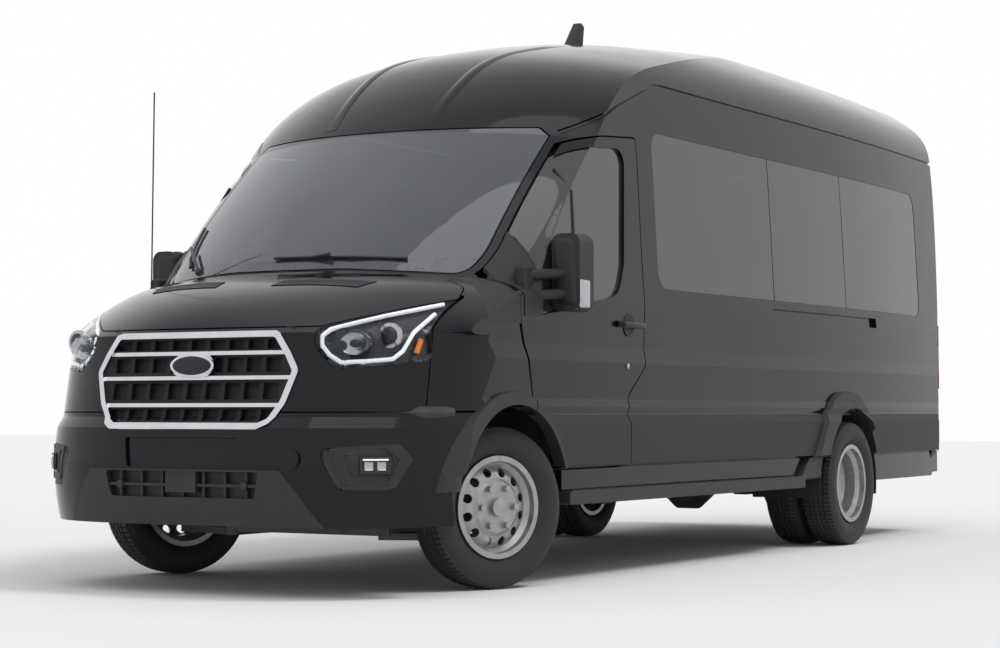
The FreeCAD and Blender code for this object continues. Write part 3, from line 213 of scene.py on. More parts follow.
def clad(paint, name, foot, top):
    """Copy of a paint with the matte grain of the cladding between two heights."""
    material = paint.copy()
    material.name = name
    tune(material, {"Coat Weight": 0.0, "Specular IOR Level": 0.24})
    nodes, links = material.node_tree.nodes, material.node_tree.links
    shader = nodes["Principled BSDF"]
    place = nodes.new("ShaderNodeTexCoord")
    split = nodes.new("ShaderNodeSeparateXYZ")
    links.new(place.outputs["Object"], split.inputs["Vector"])
    masks = []
    for value, way in ((foot, "GREATER_THAN"), (top, "LESS_THAN")):
        mask = nodes.new("ShaderNodeMath")
        mask.operation = way
        mask.inputs[1].default_value = value
        links.new(split.outputs["Z"], mask.inputs[0])
        masks.append(mask.outputs[0])
    both = combined(nodes, links, "MULTIPLY", *masks)
    for socket, value in (("Base Color", CLADDING_COLOUR), ("Roughness", (CLADDING_ROUGH,) * 3 + (1,))):
        mix = nodes.new("ShaderNodeMix")
        mix.data_type = "RGBA"
        links.new(both, mix.inputs["Factor"])
        links.new(shader.inputs[socket].links[0].from_socket, mix.inputs["A"])
        mix.inputs["B"].default_value = value
        links.new(mix.outputs["Result"], shader.inputs[socket])
    return material


body_paint = surface("black_clearcoat_paint", (0.0030, 0.0040, 0.0065), rough=0.13, mottle=(3.0, 0.10),
                     grain=(2600.0, 0.006), dust=0.04)
tune(body_paint, {"Specular IOR Level": 0.10, "Coat Weight": 0.34, "Coat Roughness": 0.03})
dress(PAINTED, body_paint)
dress(CLAD, clad(body_paint, "paint_over_grained_cladding", CLADDING_FOOT, CLADDING_TOP))

# Grained plastic: unpainted black mouldings such as arch trims, running boards and bumper parts.
# They are moulded with a fine leather-like grain, clipped on, and have gone a little grey with weather.
GRAINED = ["bumper_valance", "cowl", "sail_panels", "arch_trims", "door_arch_trim_left",
           "door_arch_trim_right", "running_boards", "rear_bumper", "aerials", "mirror_left", "mirror_right"]
grained = surface("grained_black_plastic", (0.021, 0.021, 0.023), rough=0.55, mottle=(9.0, 0.18),
                  grain=(1400.0, 0.22), dust=0.12)
tune(grained, {"Specular IOR Level": 0.35})
dress(GRAINED, grained)

# Bright work: the grille's surround and its three bars are chromed plastic, clipped into the nose.
# Chrome is almost a mirror, with faint waviness from the moulding under it. The plate behind is black.
bright = surface("bright_chrome", (0.60, 0.61, 0.64), rough=0.10, metallic=1.0, mottle=(14.0, 0.06),
                 grain=(300.0, 0.015))
dress(["grille"], bright)
mesh_black = surface("grille_mesh_plastic", (0.012, 0.012, 0.013), rough=0.6, mottle=(9.0, 0.15),
                     grain=(1100.0, 0.2), dust=0.05)
tune(mesh_black, {"Specular IOR Level": 0.25})
dress(["grille_mesh"], mesh_black)

# Metal parts under the floor: black painted frame, cast axle and carriers, all dusty from the road.
# None of them is polished, and dust lies thicker the lower they hang.
frame_black = surface("frame_black_paint", (0.03, 0.03, 0.031), rough=0.6, mottle=(11.0, 0.35),
                      grain=(500.0, 0.12), dust=0.6)
cast_iron = surface("bare_cast_iron", (0.15, 0.14, 0.13), rough=0.62, metallic=0.6, mottle=(17.0, 0.3),
                    grain=(350.0, 0.25), dust=0.5)
dress(["floor_pan", "chassis_frame", "underbody"], frame_black)
dress(["front_suspension", "engine_block", "rear_axle", "knuckle_left", "knuckle_right"], cast_iron)

# Glass: a lightly tinted laminated windscreen and front door panes, and dark privacy panes behind.
# Each pane is a real sheet six millimetres thick, bonded into its opening or held in its door.
GLASS_IOR = 1.60


def glass(name, tint, clear):
    """Pane or lens with no grain and an even gloss, so what lies behind it stays sharp."""
    pane = surface(name, tint, rough=0.03, mottle=(2.0, 0.06), grain=(5.0, 0.004))
    for socket in ("Roughness", "Normal"):
        for link in list(pane.node_tree.nodes["Principled BSDF"].inputs[socket].links):
            pane.node_tree.links.remove(link)
    tune(pane, {"Roughness": 0.0, "IOR": GLASS_IOR, "Transmission Weight": clear})
    return pane


screen_glass = glass("windscreen_glass", (0.20, 0.22, 0.28), 0.8)
privacy_glass = glass("privacy_glass", (0.06, 0.058, 0.06), 0.6)
door_glass = glass("door_glass", (0.12, 0.125, 0.13), 0.8)
dress(["windscreen"], screen_glass)
dress(["front_door_glass_left", "front_door_glass_right"], door_glass)
dress(["side_glass_left", "side_glass_right", "rear_door_glass_left", "rear_door_glass_right"], privacy_glass)

# Cabin mouldings: dashboard, console and steering wheel in dark soft-touch plastic.
# They are moulded with a pebbled grain that keeps them from shining.
cabin_plastic = surface("soft_touch_plastic", (0.035, 0.035, 0.04), rough=0.7, mottle=(6.0, 0.12),
                        grain=(650.0, 0.05))
dress(["dashboard"], cabin_plastic)

# Tail lamps: tall red lenses on the rear corners, with an amber and a clear band lower down.
# Fine vertical flutes are moulded into the lens, and each lamp is screwed to its corner.
LENS_HEIGHTS = (0.88, 1.32)
LENS_RED = (0.42, 0.012, 0.012, 1)
LENS_RED_FOOT = (0.40, 0.012, 0.012, 1)
AMBER_BAND = (0.28, (0.75, 0.22, 0.02, 1))
CLEAR_BAND = (0.46, (0.60, 0.60, 0.62, 1))
UPPER_RED = 0.66
FLUTE_SCALE = 60.0
FLUTE_STRENGTH = 0.25
FLUTE_HEIGHT = 0.002
tail_lens = surface("fluted_tail_lens", LENS_RED[:3], rough=0.12, mottle=(5.0, 0.08), grain=(200.0, 0.01))
tune(tail_lens, {"Coat Weight": 1.0})
nodes, links = tail_lens.node_tree.nodes, tail_lens.node_tree.links
place = nodes.new("ShaderNodeTexCoord")
split = nodes.new("ShaderNodeSeparateXYZ")
links.new(place.outputs["Object"], split.inputs["Vector"])
bands = nodes.new("ShaderNodeValToRGB")
bands.color_ramp.interpolation = "CONSTANT"
bands.color_ramp.elements[0].color = LENS_RED_FOOT
bands.color_ramp.elements[1].position = UPPER_RED
bands.color_ramp.elements[1].color = LENS_RED
for share, colour in (AMBER_BAND, CLEAR_BAND):
    bands.color_ramp.elements.new(share).color = colour
links.new(ranged(nodes, links, split.outputs["Z"], LENS_HEIGHTS, (0, 1)), bands.inputs["Fac"])
links.new(bands.outputs["Color"], nodes["Principled BSDF"].inputs["Base Color"])
flutes = nodes.new("ShaderNodeTexWave")
flutes.inputs["Scale"].default_value = FLUTE_SCALE
flutes.bands_direction = "X"
links.new(place.outputs["Object"], flutes.inputs["Vector"])
add_bump(nodes, links, flutes.outputs["Fac"], FLUTE_STRENGTH, FLUTE_HEIGHT)
dress(["tail_lamps"], tail_lens)

# Wheels: pressed steel rims in silver paint, with nuts and a centre cap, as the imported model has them.
# They are bolted to the hubs, and road dust greys them a little.
silver = surface("silver_wheel_paint", (0.36, 0.365, 0.375), rough=0.36, metallic=0.7, mottle=(22.0, 0.16),
                 grain=(1500.0, 0.03), dust=0.12)
dress(["rim_front_left", "rim_front_right", "rims_rear_left", "rims_rear_right"], silver)

# Tyres: black rubber with four grooves round the tread and cut blocks on the shoulders and middle ribs.
# One pitch of the tread is modelled and repeated round the wheel, and the tyre is copied for all six
# wheels, where it sits on its rim.
TREAD_R = 0.3485
CUT_R = 0.3365
TREAD_FLOOR = 0.34
TYRE_HALF = 0.0955
SHOULDER_X = 0.046
RIB_INNER_X = 0.0195
RIB_OUTER_X = 0.035
PITCHES = 84
BLOCK_SHARE = 0.8
GROOVE_DEPTH = 0.008
TREAD_MERGE = 0.00003
TWIN_OFFSET = 0.112
LEFT_TWINS = [("_outer", TWIN_OFFSET), ("_inner", -TWIN_OFFSET)]
RIGHT_TWINS = [("_outer", -TWIN_OFFSET), ("_inner", TWIN_OFFSET)]
TYRE_PROFILE = [(0.062, 0.2035), (0.0665, 0.224), (0.078, 0.236), (0.0885, 0.252), (0.0945, 0.272),
                (TYRE_HALF, 0.291), (0.093, 0.310), (0.087, 0.326), (0.083, 0.331), (0.081, CUT_R),
                (0.0775, 0.342), (0.060, 0.3462), (SHOULDER_X, 0.3474), (0.044, 0.3394), (0.037, 0.3394),
                (RIB_OUTER_X, 0.3478), (RIB_INNER_X, TREAD_R), (0.0175, 0.3402), (0.0105, 0.3402),
                (0.0085, TREAD_R)]
WHEELS = [("front_left", "wheel_front_left", "tyre_front_left", [("", 0.0)]),
          ("front_right", "wheel_front_right", "tyre_front_right", [("", 0.0)]),
          ("rear_left", "wheels_rear_left", "tyres_rear_left", LEFT_TWINS),
          ("rear_right", "wheels_rear_right", "tyres_rear_right", RIGHT_TWINS)]


def only(piece):
    """Makes one object the only selected one, and the active one."""
    deselect()
    piece.select_set(True)
    bpy.context.view_layer.objects.active = piece


def apply_place():
    bpy.ops.object.transform_apply(location=True, rotation=True, scale=True)


def edit(piece):
    """Opens one object, and only that one, in edit mode."""
    if bpy.context.mode != "OBJECT":
        bpy.ops.object.mode_set(mode="OBJECT")
    only(piece)
    bpy.ops.object.mode_set(mode="EDIT")


def edit_all(piece):
    edit(piece)
    bpy.ops.mesh.select_all(action="SELECT")


def done():
    bpy.ops.object.mode_set(mode="OBJECT")


def pick_faces(piece, wanted):
    """Selects faces by their centre and normal."""
    bpy.ops.mesh.select_mode(type="FACE")
    mesh = bmesh.from_edit_mesh(piece.data)
    for face in mesh.faces:
        face.select_set(bool(wanted(face.calc_center_median(), face.normal)))
    mesh.select_flush_mode()
    bmesh.update_edit_mesh(piece.data)


def pick_verts(piece, wanted):
    """Selects corners by their place."""
    bpy.ops.mesh.select_mode(type="VERT")
    mesh = bmesh.from_edit_mesh(piece.data)
    for vert in mesh.verts:
        vert.select_set(bool(wanted(vert.co)))
    mesh.select_flush_mode()
    bmesh.update_edit_mesh(piece.data)


def modify(piece, kind, **settings):
    """Adds a modifier and applies it at once."""
    only(piece)
    modifier = piece.modifiers.new(kind.lower(), kind)
    for key, value in settings.items():
        setattr(modifier, key, value)
    bpy.ops.object.modifier_apply(modifier=modifier.name)


def tidy_mesh(piece, distance=0.00002):
    """Merges doubled corners and turns all faces outwards."""
    edit_all(piece)
    bpy.ops.mesh.remove_doubles(threshold=distance)
    bpy.ops.mesh.normals_make_consistent(inside=False)
    done()


def fit(piece, body, material, replaced=(), smooth=30.0):
    """Settles a finished piece: place in its mesh, smooth shading, material and the body it moves with."""
    only(piece)
    apply_place()
    bpy.ops.object.shade_smooth_by_angle(angle=math.radians(smooth))
    piece.data.materials.clear()
    piece.data.materials.append(material)
    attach(piece, body)
    if replaced:
        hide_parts(*replaced)
    return piece


def copy_of(piece, name):
    twin = piece.copy()
    twin.data = piece.data.copy()
    twin.name = name
    bpy.context.scene.collection.objects.link(twin)
    return twin


def outlined(name, points):
    """Closed line of edges through (x, z) points in the plane y = 0, made by extruding one corner along."""
    deselect()
    bpy.ops.mesh.primitive_plane_add(size=0.01, location=(0, 0, 0))
    piece = bpy.context.object
    piece.name = name
    edit(piece)
    bpy.ops.mesh.select_mode(type="VERT")
    bpy.ops.mesh.select_all(action="SELECT")
    bpy.ops.mesh.merge(type="CENTER")
    bpy.ops.transform.translate(value=(points[0][0], 0, points[0][1]))
    for here, after in zip(points[:-1], points[1:]):
        step = (after[0] - here[0], 0, after[1] - here[1])
        bpy.ops.mesh.extrude_vertices_move(TRANSFORM_OT_translate={"value": step})
    first = Vector((points[0][0], 0, points[0][1]))
    last = Vector((points[-1][0], 0, points[-1][1]))
    pick_verts(piece, lambda co: (co - first).length < 1e-6 or (co - last).length < 1e-6)
    bpy.ops.mesh.edge_face_add()
    return piece


rubber = surface("tyre_rubber", (0.014, 0.014, 0.015), rough=0.72, mottle=(30.0, 0.2),
                 grain=(700.0, 0.12), dust=0.12)
master_tyre = outlined("tyre_master", TYRE_PROFILE + [(-x, r) for x, r in reversed(TYRE_PROFILE)])
pitch = 2 * math.pi / PITCHES
bpy.ops.mesh.select_all(action="SELECT")
bpy.ops.mesh.spin(steps=1, angle=-pitch * BLOCK_SHARE, center=(0, 0, 0), axis=(1, 0, 0))
bpy.ops.mesh.spin(steps=1, angle=-pitch * (1 - BLOCK_SHARE), center=(0, 0, 0), axis=(1, 0, 0))
spread = sorted({round(math.atan2(v.co.y, v.co.z), 5) for v in bmesh.from_edit_mesh(master_tyre.data).verts
                 if v.co.z > TREAD_FLOOR})
cut_low, cut_high = (spread[1], spread[2]) if abs(spread[0]) < abs(spread[2]) else (spread[0], spread[1])


def in_cut(centre, normal):
    """Whether a face of the pitch lies in the cut between two blocks."""
    turn = math.atan2(centre.y, centre.z)
    across = abs(centre.x)
    radius = math.hypot(centre.y, centre.z)
    on_block = across > SHOULDER_X or RIB_INNER_X < across < RIB_OUTER_X
    return cut_low < turn < cut_high and radius > CUT_R and on_block


pick_faces(master_tyre, in_cut)
direction = Vector((0, math.sin((cut_low + cut_high) / 2), math.cos((cut_low + cut_high) / 2)))
bpy.ops.mesh.extrude_region_move(TRANSFORM_OT_translate={"value": tuple(-GROOVE_DEPTH * direction)})
bpy.ops.mesh.select_all(action="SELECT")
bpy.ops.mesh.spin(steps=PITCHES, angle=2 * math.pi, center=(0, 0, 0), axis=(1, 0, 0), dupli=True)
done()
tidy_mesh(master_tyre, TREAD_MERGE)

joint_named = {joint["name"]: joint for joint in frame["joints"]}
for corner, body, node, places in WHEELS:
    hub = Vector(joint_named["spin_" + corner]["pos_m"])
    axle = Vector(joint_named["spin_" + corner]["axis"])
    replaced = (node,)
    for ending, offset in places:
        tyre = copy_of(master_tyre, "tyre_rubber_" + corner + ending)
        tyre.rotation_euler = (0, 0, math.atan2(axle.y, axle.x))
        tyre.location = hub + axle * offset
        fit(tyre, body, rubber, replaced, 35.0)
        replaced = ()
bpy.data.objects.remove(master_tyre)

# Headlamps: each is a dark moulded bucket behind a clear lens that follows the body, screwed to the nose.
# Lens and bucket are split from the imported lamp's own faces. A white light guide, a reflector with its
# shield, a projector with its rim and an amber marker are set behind the lens.
GUIDE = [(0.908, 1.198), (0.76, 1.146), (0.612, 1.090), (0.592, 1.062), (0.594, 1.024), (0.625, 0.985),
         (0.672, 0.954), (0.76, 0.958), (0.842, 0.968), (0.868, 1.0), (0.893, 1.075), (0.912, 1.155)]
GUIDE_DEPTH = 0.016
GUIDE_R = 0.0092
MARKER = [(0.903, 0.992), (0.908, 1.022), (0.912, 1.050)]
MARKER_DEPTH = 0.020
MARKER_R = 0.012
REFLECTOR = (0.712, 1.032)
PROJECTOR = (0.822, 1.064)
LENS_SHEET = 0.003
BUCKET_SHEET = 0.0012
DOME_INSETS = (0.06, 0.12, 0.16)
DOME_DEPTH = 0.012
HEAD_ABOVE = 0.8
LENS_FACING = -0.30
lamp_black = surface("lamp_bucket_plastic", (0.010, 0.010, 0.012), rough=0.3, mottle=(20.0, 0.1),
                     grain=(900.0, 0.05))
lamp_chrome = surface("lamp_reflector_chrome", (0.42, 0.43, 0.45), rough=0.16, metallic=1.0,
                      mottle=(40.0, 0.06), grain=(200.0, 0.03))
lamp_white = surface("light_guide_white", (0.86, 0.87, 0.90), rough=0.35, mottle=(30.0, 0.04),
                     grain=(400.0, 0.02))
tune(lamp_white, {"Emission Color": (0.9, 0.93, 1.0, 1), "Emission Strength": 0.22})
projector_dark = surface("projector_dark_glass", (0.02, 0.022, 0.03), rough=0.05, metallic=0.2,
                         mottle=(30.0, 0.1), grain=(40.0, 0.004))
lamp_amber = surface("amber_reflector", (0.80, 0.20, 0.03), rough=0.3, mottle=(60.0, 0.12),
                     grain=(500.0, 0.2))
lamp_lens = glass("headlamp_lens", (0.93, 0.94, 0.96), 1.0)
tune(lamp_lens, {"IOR": 1.12})
LAMP_DISCS = [("main_reflector", REFLECTOR, 0.030, 0.150, 0.094, -0.014, lamp_chrome),
              ("reflector_shield", REFLECTOR, 0.028, 0.050, 0.036, 0.008, projector_dark),
              ("projector_rim", PROJECTOR, 0.034, 0.108, 0.104, 0.006, lamp_chrome),
              ("projector_lens", PROJECTOR, 0.026, 0.076, 0.074, 0.014, projector_dark)]


def cad_copy(node, name):
    """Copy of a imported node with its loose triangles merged."""
    twin = copy_of(frame["nodes"][node], name)
    twin.parent = None
    twin.matrix_world = Matrix.Identity(4)
    edit_all(twin)
    bpy.ops.mesh.remove_doubles(threshold=0.00001)
    done()
    return twin


def parted(piece):
    """Separates a mesh into its loose parts and returns them."""
    edit_all(piece)
    bpy.ops.mesh.separate(type="LOOSE")
    done()
    return list(bpy.context.selected_objects)


def flip(piece):
    """Turns all faces of a piece the other way."""
    edit_all(piece)
    bpy.ops.mesh.flip_normals()
    done()


def middle_of(piece):
    corners = [vert.co for vert in piece.data.vertices]
    return sum(corners, Vector()) / len(corners)


def first_hit(piece, start, way):
    """Point where a line first meets a piece, or None, and the normal there."""
    hit, spot, normal, index = piece.ray_cast(Vector(start), Vector(way))
    return spot if hit else None, normal


def from_front(piece, x, z):
    return first_hit(piece, (x, -5.0, z), (0, 1, 0))


def bar(name, points, radius):
    """Closed round bar drawn along points."""
    deselect()
    bpy.ops.curve.primitive_nurbs_path_add(location=(0, 0, 0))
    piece = bpy.context.object
    piece.name = name
    curve = piece.data
    curve.splines.clear()
    run = curve.splines.new("POLY")
    run.points.add(len(points) - 1)
    for point, spot in zip(run.points, points):
        point.co = (*spot, 1)
    curve.bevel_depth = radius
    curve.bevel_resolution = 2
    curve.use_fill_caps = True
    bpy.ops.object.convert(target="MESH")
    piece = bpy.context.object
    tidy_mesh(piece)
    return piece


def dome(name, spot, width, height, bulge, ring=48):
    """Oval plate facing forward, inset three times. Its face swells by the bulge, or sinks if negative."""
    deselect()
    bpy.ops.mesh.primitive_cylinder_add(vertices=ring, radius=0.5, depth=DOME_DEPTH, location=(0, 0, 0),
                                        rotation=(math.radians(90), 0, 0))
    piece = bpy.context.object
    piece.name = name
    apply_place()
    edit(piece)
    pick_faces(piece, lambda centre, normal: normal.y < -0.9)
    for share in DOME_INSETS:
        bpy.ops.mesh.inset(thickness=share)
        bpy.ops.transform.translate(value=(0, -bulge / len(DOME_INSETS), 0))
    done()
    piece.scale = (width, 1.0, height)
    piece.location = spot
    return piece


lens_of = {}
for part in parted(cad_copy("front_lamps", "lamp_forms")):
    middle = middle_of(part)
    side = "left" if middle.x > 0 else "right"
    kind = "head" if middle.z > HEAD_ABOVE else "fog"
    edit(part)
    pick_faces(part, lambda centre, normal: normal.y < LENS_FACING)
    bpy.ops.mesh.separate(type="SELECTED")
    done()
    front = [piece for piece in bpy.context.selected_objects if piece != part][0]
    part.name = kind + "_lamp_bucket_" + side
    front.name = kind + "_lamp_lens_" + side
    lens_of[kind, side] = front
    modify(front, "SOLIDIFY", thickness=LENS_SHEET, offset=-1.0)
    flip(part)
    modify(part, "SOLIDIFY", thickness=BUCKET_SHEET, offset=-1.0)
    replaced = ("front_lamps",) if (kind, side) == ("head", "left") else ()
    fit(part, "van_body", lamp_black, replaced)


def behind_lens(kind, side, x, z, depth):
    """Point at a depth behind a lamp's lens, found by looking at it from the front."""
    lens = lens_of[kind, side]
    spot = from_front(lens, x, z)[0] or middle_of(lens)
    return Vector((x, spot.y + depth, z))


for side, sign in (("left", 1), ("right", -1)):
    run = [behind_lens("head", side, sign * x, z, GUIDE_DEPTH) for x, z in GUIDE]
    guide = bar("light_guide_" + side, run, GUIDE_R)
    fit(guide, "van_body", lamp_white)
    for name, (x, z), depth, width, height, bulge, material in LAMP_DISCS:
        spot = behind_lens("head", side, sign * x, z, depth)
        disc = dome(name + "_" + side, spot, width, height, bulge)
        fit(disc, "van_body", material)
    run = [behind_lens("head", side, sign * x, z, MARKER_DEPTH) for x, z in MARKER]
    amber = bar("amber_marker_" + side, run, MARKER_R)
    fit(amber, "van_body", lamp_amber)
    fit(lens_of["head", side], "van_body", lamp_lens, (), 40.0)

# Fog lamp surrounds: a grained moulding pressed into the bumper, framed by two raised rims.
# Between the rims sits a small dark lamp with a light bar over two reflector cells.
FOG_OUTER = [(0.690, 0.602), (0.865, 0.612), (0.905, 0.563), (0.872, 0.470), (0.735, 0.470), (0.690, 0.602)]
FOG_INNER = [(0.742, 0.588), (0.878, 0.592), (0.893, 0.545), (0.872, 0.498), (0.768, 0.498), (0.742, 0.588)]
FOG_SURROUND_R = 0.0065
FOG_RIM_R = 0.0045
FOG_RIM_PROUD = 0.001
FOG_LAMP = (0.836, 0.542)
FOG_CELL = (0.036, 0.006, 0.034)
CELL_SINK = 0.0035
CELL_PROUD = 0.0125
FOG_INSET = 0.16
FOG_EDGE = 0.0016
FOG_PARTS = [("fog_lamp_body", (0.128, 0.016, 0.070), 0.004, (0, 0), CELL_SINK, lamp_black),
             ("fog_light_bar", (0.104, 0.006, 0.007), CELL_PROUD, (0, 0.022), -0.001, lamp_white),
             ("fog_cell_inner", FOG_CELL, CELL_PROUD, (-0.028, -0.004), CELL_SINK, lamp_chrome),
             ("fog_cell_outer", FOG_CELL, CELL_PROUD, (0.024, -0.004), CELL_SINK, lamp_chrome)]


def brick(name, size, spot=(0, 0, 0)):
    """Block of a size about a point."""
    deselect()
    bpy.ops.mesh.primitive_cube_add(size=1, location=spot)
    block = bpy.context.object
    block.name = name
    block.scale = size
    apply_place()
    return block


def inset_face(piece, wanted, rim, push):
    """Insets the faces picked, and pushes them in or out."""
    edit(piece)
    pick_faces(piece, wanted)
    bpy.ops.mesh.inset(thickness=rim)
    bpy.ops.transform.translate(value=push)
    done()


for side, sign in (("left", 1), ("right", -1)):
    plate = lens_of["fog", side]
    fit(plate, "van_body", grained, (), 40.0)
    for name, outline, radius, material in (("fog_surround_", FOG_OUTER, FOG_SURROUND_R, grained),
                                            ("fog_rim_", FOG_INNER, FOG_RIM_R, lamp_black)):
        run = [behind_lens("fog", side, sign * x, z, -FOG_RIM_PROUD) for x, z in outline]
        fit(bar(name + side, run, radius), "van_body", material)
    spot, normal = from_front(plate, sign * FOG_LAMP[0], FOG_LAMP[1])
    spot = spot or middle_of(plate)
    turn = math.atan2(normal.x, -normal.y)
    along = Vector((math.cos(turn), math.sin(turn), 0))
    for name, size, proud, shift, sink, material in FOG_PARTS:
        block = brick(name + "_" + side, size)
        rim = min(size[0], size[2]) * FOG_INSET
        inset_face(block, lambda centre, normal: normal.y < -0.9, rim, (0, sink, 0))
        modify(block, "BEVEL", width=FOG_EDGE, segments=2, limit_method="ANGLE")
        block.rotation_euler = (0, 0, turn)
        block.location = spot + normal * proud + along * shift[0] + Vector((0, 0, shift[1]))
        fit(block, "van_body", material)

# Badge place: a plain domed oval with a bright rim on the middle bar, left bare.
# It is a pressed cap that clips over the grille's boss.
BADGE_Z = 0.946
badge_spot = from_front(frame["nodes"]["grille"], 0, BADGE_Z)[0] or Vector((0, -3.37, BADGE_Z))
badge_face = surface("badge_face_enamel", (0.012, 0.014, 0.022), rough=0.25, metallic=0.3, mottle=(8.0, 0.2),
                     grain=(300.0, 0.02))
for name, proud, width, height, bulge, material in (("badge_rim", 0.002, 0.226, 0.098, 0.002, bright),
                                                    ("badge_cap", 0.006, 0.196, 0.078, 0.005, badge_face)):
    cap = dome(name, badge_spot + Vector((0, -proud, 0)), width, height, bulge)
    fit(cap, "van_body", material)

# Hood vents: two slotted plastic panels let into the hood's rear half, one each side of the middle.
# Each is a thin moulded sheet that follows the hood, with rows of slots across it.
VENT_CORNERS = [(0.148, -2.950), (0.545, -2.886), (0.585, -2.798), (0.165, -2.858)]
VENT_COLUMNS = 37
VENT_ROWS = 5
VENT_LIFT = 0.0012
VENT_SHEET = 0.002
SLOT_DEPTH = 0.0016


def from_above(piece, x, y):
    return first_hit(piece, (x, y, 4.0), (0, 0, -1))


def draped(name, columns, rows, place):
    """Sheet of faces whose corners, counted u and v from 0 to 1, each go where place puts them."""
    deselect()
    bpy.ops.mesh.primitive_grid_add(x_subdivisions=columns, y_subdivisions=rows, size=1,
                                    location=(0.5, 0.5, 0))
    sheet = bpy.context.object
    sheet.name = name
    apply_place()
    for vert in sheet.data.vertices:
        vert.co = place(vert.co.x, vert.co.y)
    return sheet


def vent_point(sign, u, v):
    """Point just over the hood at a share of the vent's width and length."""
    a, b, c, d = [Vector((x, y, 0)) for x, y in VENT_CORNERS]
    flat = a.lerp(b, u).lerp(d.lerp(c, u), v)
    spot = from_above(frame["nodes"]["hood"], sign * flat.x, flat.y)[0]
    return (spot or Vector((sign * flat.x, flat.y, 1.28))) + Vector((0, 0, VENT_LIFT))


for side, sign in (("left", 1), ("right", -1)):
    vent = draped("hood_vent_" + side, VENT_COLUMNS, VENT_ROWS, lambda u, v: vent_point(sign, u, v))
    if sign < 0:
        flip(vent)
    slots = set()
    for face in vent.data.polygons:
        column, row = face.index % VENT_COLUMNS, face.index // VENT_COLUMNS
        if column % 2 and 0 < row < VENT_ROWS - 1:
            slots.add(face.index)
    modify(vent, "SOLIDIFY", thickness=VENT_SHEET, offset=1.0)
    edit(vent)
    mesh = bmesh.from_edit_mesh(vent.data)
    mesh.faces.ensure_lookup_table()
    bpy.ops.mesh.select_mode(type="FACE")
    for face in mesh.faces:
        face.select_set(face.index in slots)
    bmesh.update_edit_mesh(vent.data)
    bpy.ops.mesh.extrude_region_move(TRANSFORM_OT_translate={"value": (0, 0, -SLOT_DEPTH)})
    done()
    fit(vent, "hood", grained, (), 25.0)

# Wipers: two arms swung from pivots in the cowl, each with a long rubber blade lying on the glass.
# The arms are painted black steel, cranked near the pivot.
WIPERS = [("wiper_left", (-0.06, -2.575, 1.392),
           [(-0.08, 1.43), (0.12, 1.428), (0.32, 1.424), (0.56, 1.414)]),
          ("wiper_right", (-0.56, -2.540, 1.392),
           [(-0.80, 1.62), (-0.77, 1.54), (-0.72, 1.46), (-0.66, 1.415)])]
BLADE_OFF_GLASS = Vector((0, -0.011, 0.004))
ARM_OFF_BLADE = Vector((0, -0.018, 0.012))
ARM_CRANK = Vector((0, -0.012, 0.018))
KNEE_SHARE = 0.3
BLADE_R = 0.0075
ARM_R = 0.0085
PIVOT_SIZE = 0.036
wiper_black = surface("wiper_satin_black", (0.018, 0.018, 0.019), rough=0.42, mottle=(25.0, 0.15),
                      grain=(800.0, 0.08))
for name, foot, line in WIPERS:
    run = []
    for x, z in line:
        on_glass = from_front(frame["nodes"]["windscreen"], x, z)[0] or Vector((x, -2.5, z))
        run.append(on_glass + BLADE_OFF_GLASS)
    blade = bar(name + "_blade", run, BLADE_R)
    fit(blade, "van_body", wiper_black, ("wipers",) if name == "wiper_left" else ())
    start = Vector(foot)
    tip = (run[1] + run[2]) / 2 + ARM_OFF_BLADE
    knee = start.lerp(tip, KNEE_SHARE) + ARM_CRANK
    arm = bar(name + "_arm", [start, knee, tip], ARM_R)
    fit(arm, "van_body", wiper_black)
    pivot = dome(name + "_pivot", start + Vector((0, 0, 0.002)), PIVOT_SIZE, PIVOT_SIZE, 0.006, 24)
    fit(pivot, "van_body", wiper_black)

# Mirrors: a grained cap over the front of each housing, a flat silvered glass behind, a bright signal on
# the outer end and a foot on the door. The cap is a moulded shell, open at the back over the housing.
CAP_LOW = Vector((1.0240, -2.1150, 1.1880))
CAP_HIGH = Vector((1.1840, -2.012, 1.5360))
CAP_FOOT_IN = (0.020, 0, 0.030)
CAP_TOP_OUT = (-0.016, 0, -0.012)
CAP_CORNER = 0.01
CAP_ROUND = 0.042
CAP_OPEN = 0.028
CAP_SHEET = 0.0022
PANE_SPOT = (1.111, -1.9785, 1.362)
PANE_SIZE = (0.112, 0.005, 0.300)
PANE_EDGE = 0.0018
END_INSET = 0.12
END_PROUD = 0.002
mirror_glass = surface("mirror_silvering", (0.72, 0.74, 0.76), rough=0.03, metallic=1.0, mottle=(4.0, 0.02),
                       grain=(20.0, 0.002))
MIRROR_PARTS = [("mirror_signal", (1.176, -2.062, 1.268), (0.020, 0.085, 0.125), 0.008, lamp_chrome),
                ("mirror_foot", (0.999, -2.268, 1.300), (0.056, 0.100, 0.165), 0.020, grained)]


def mirror_over(piece):
    """Turns a piece into its own mirror image across the middle of the vehicle."""
    piece.scale = (-1, 1, 1)
    only(piece)
    apply_place()
    tidy_mesh(piece)


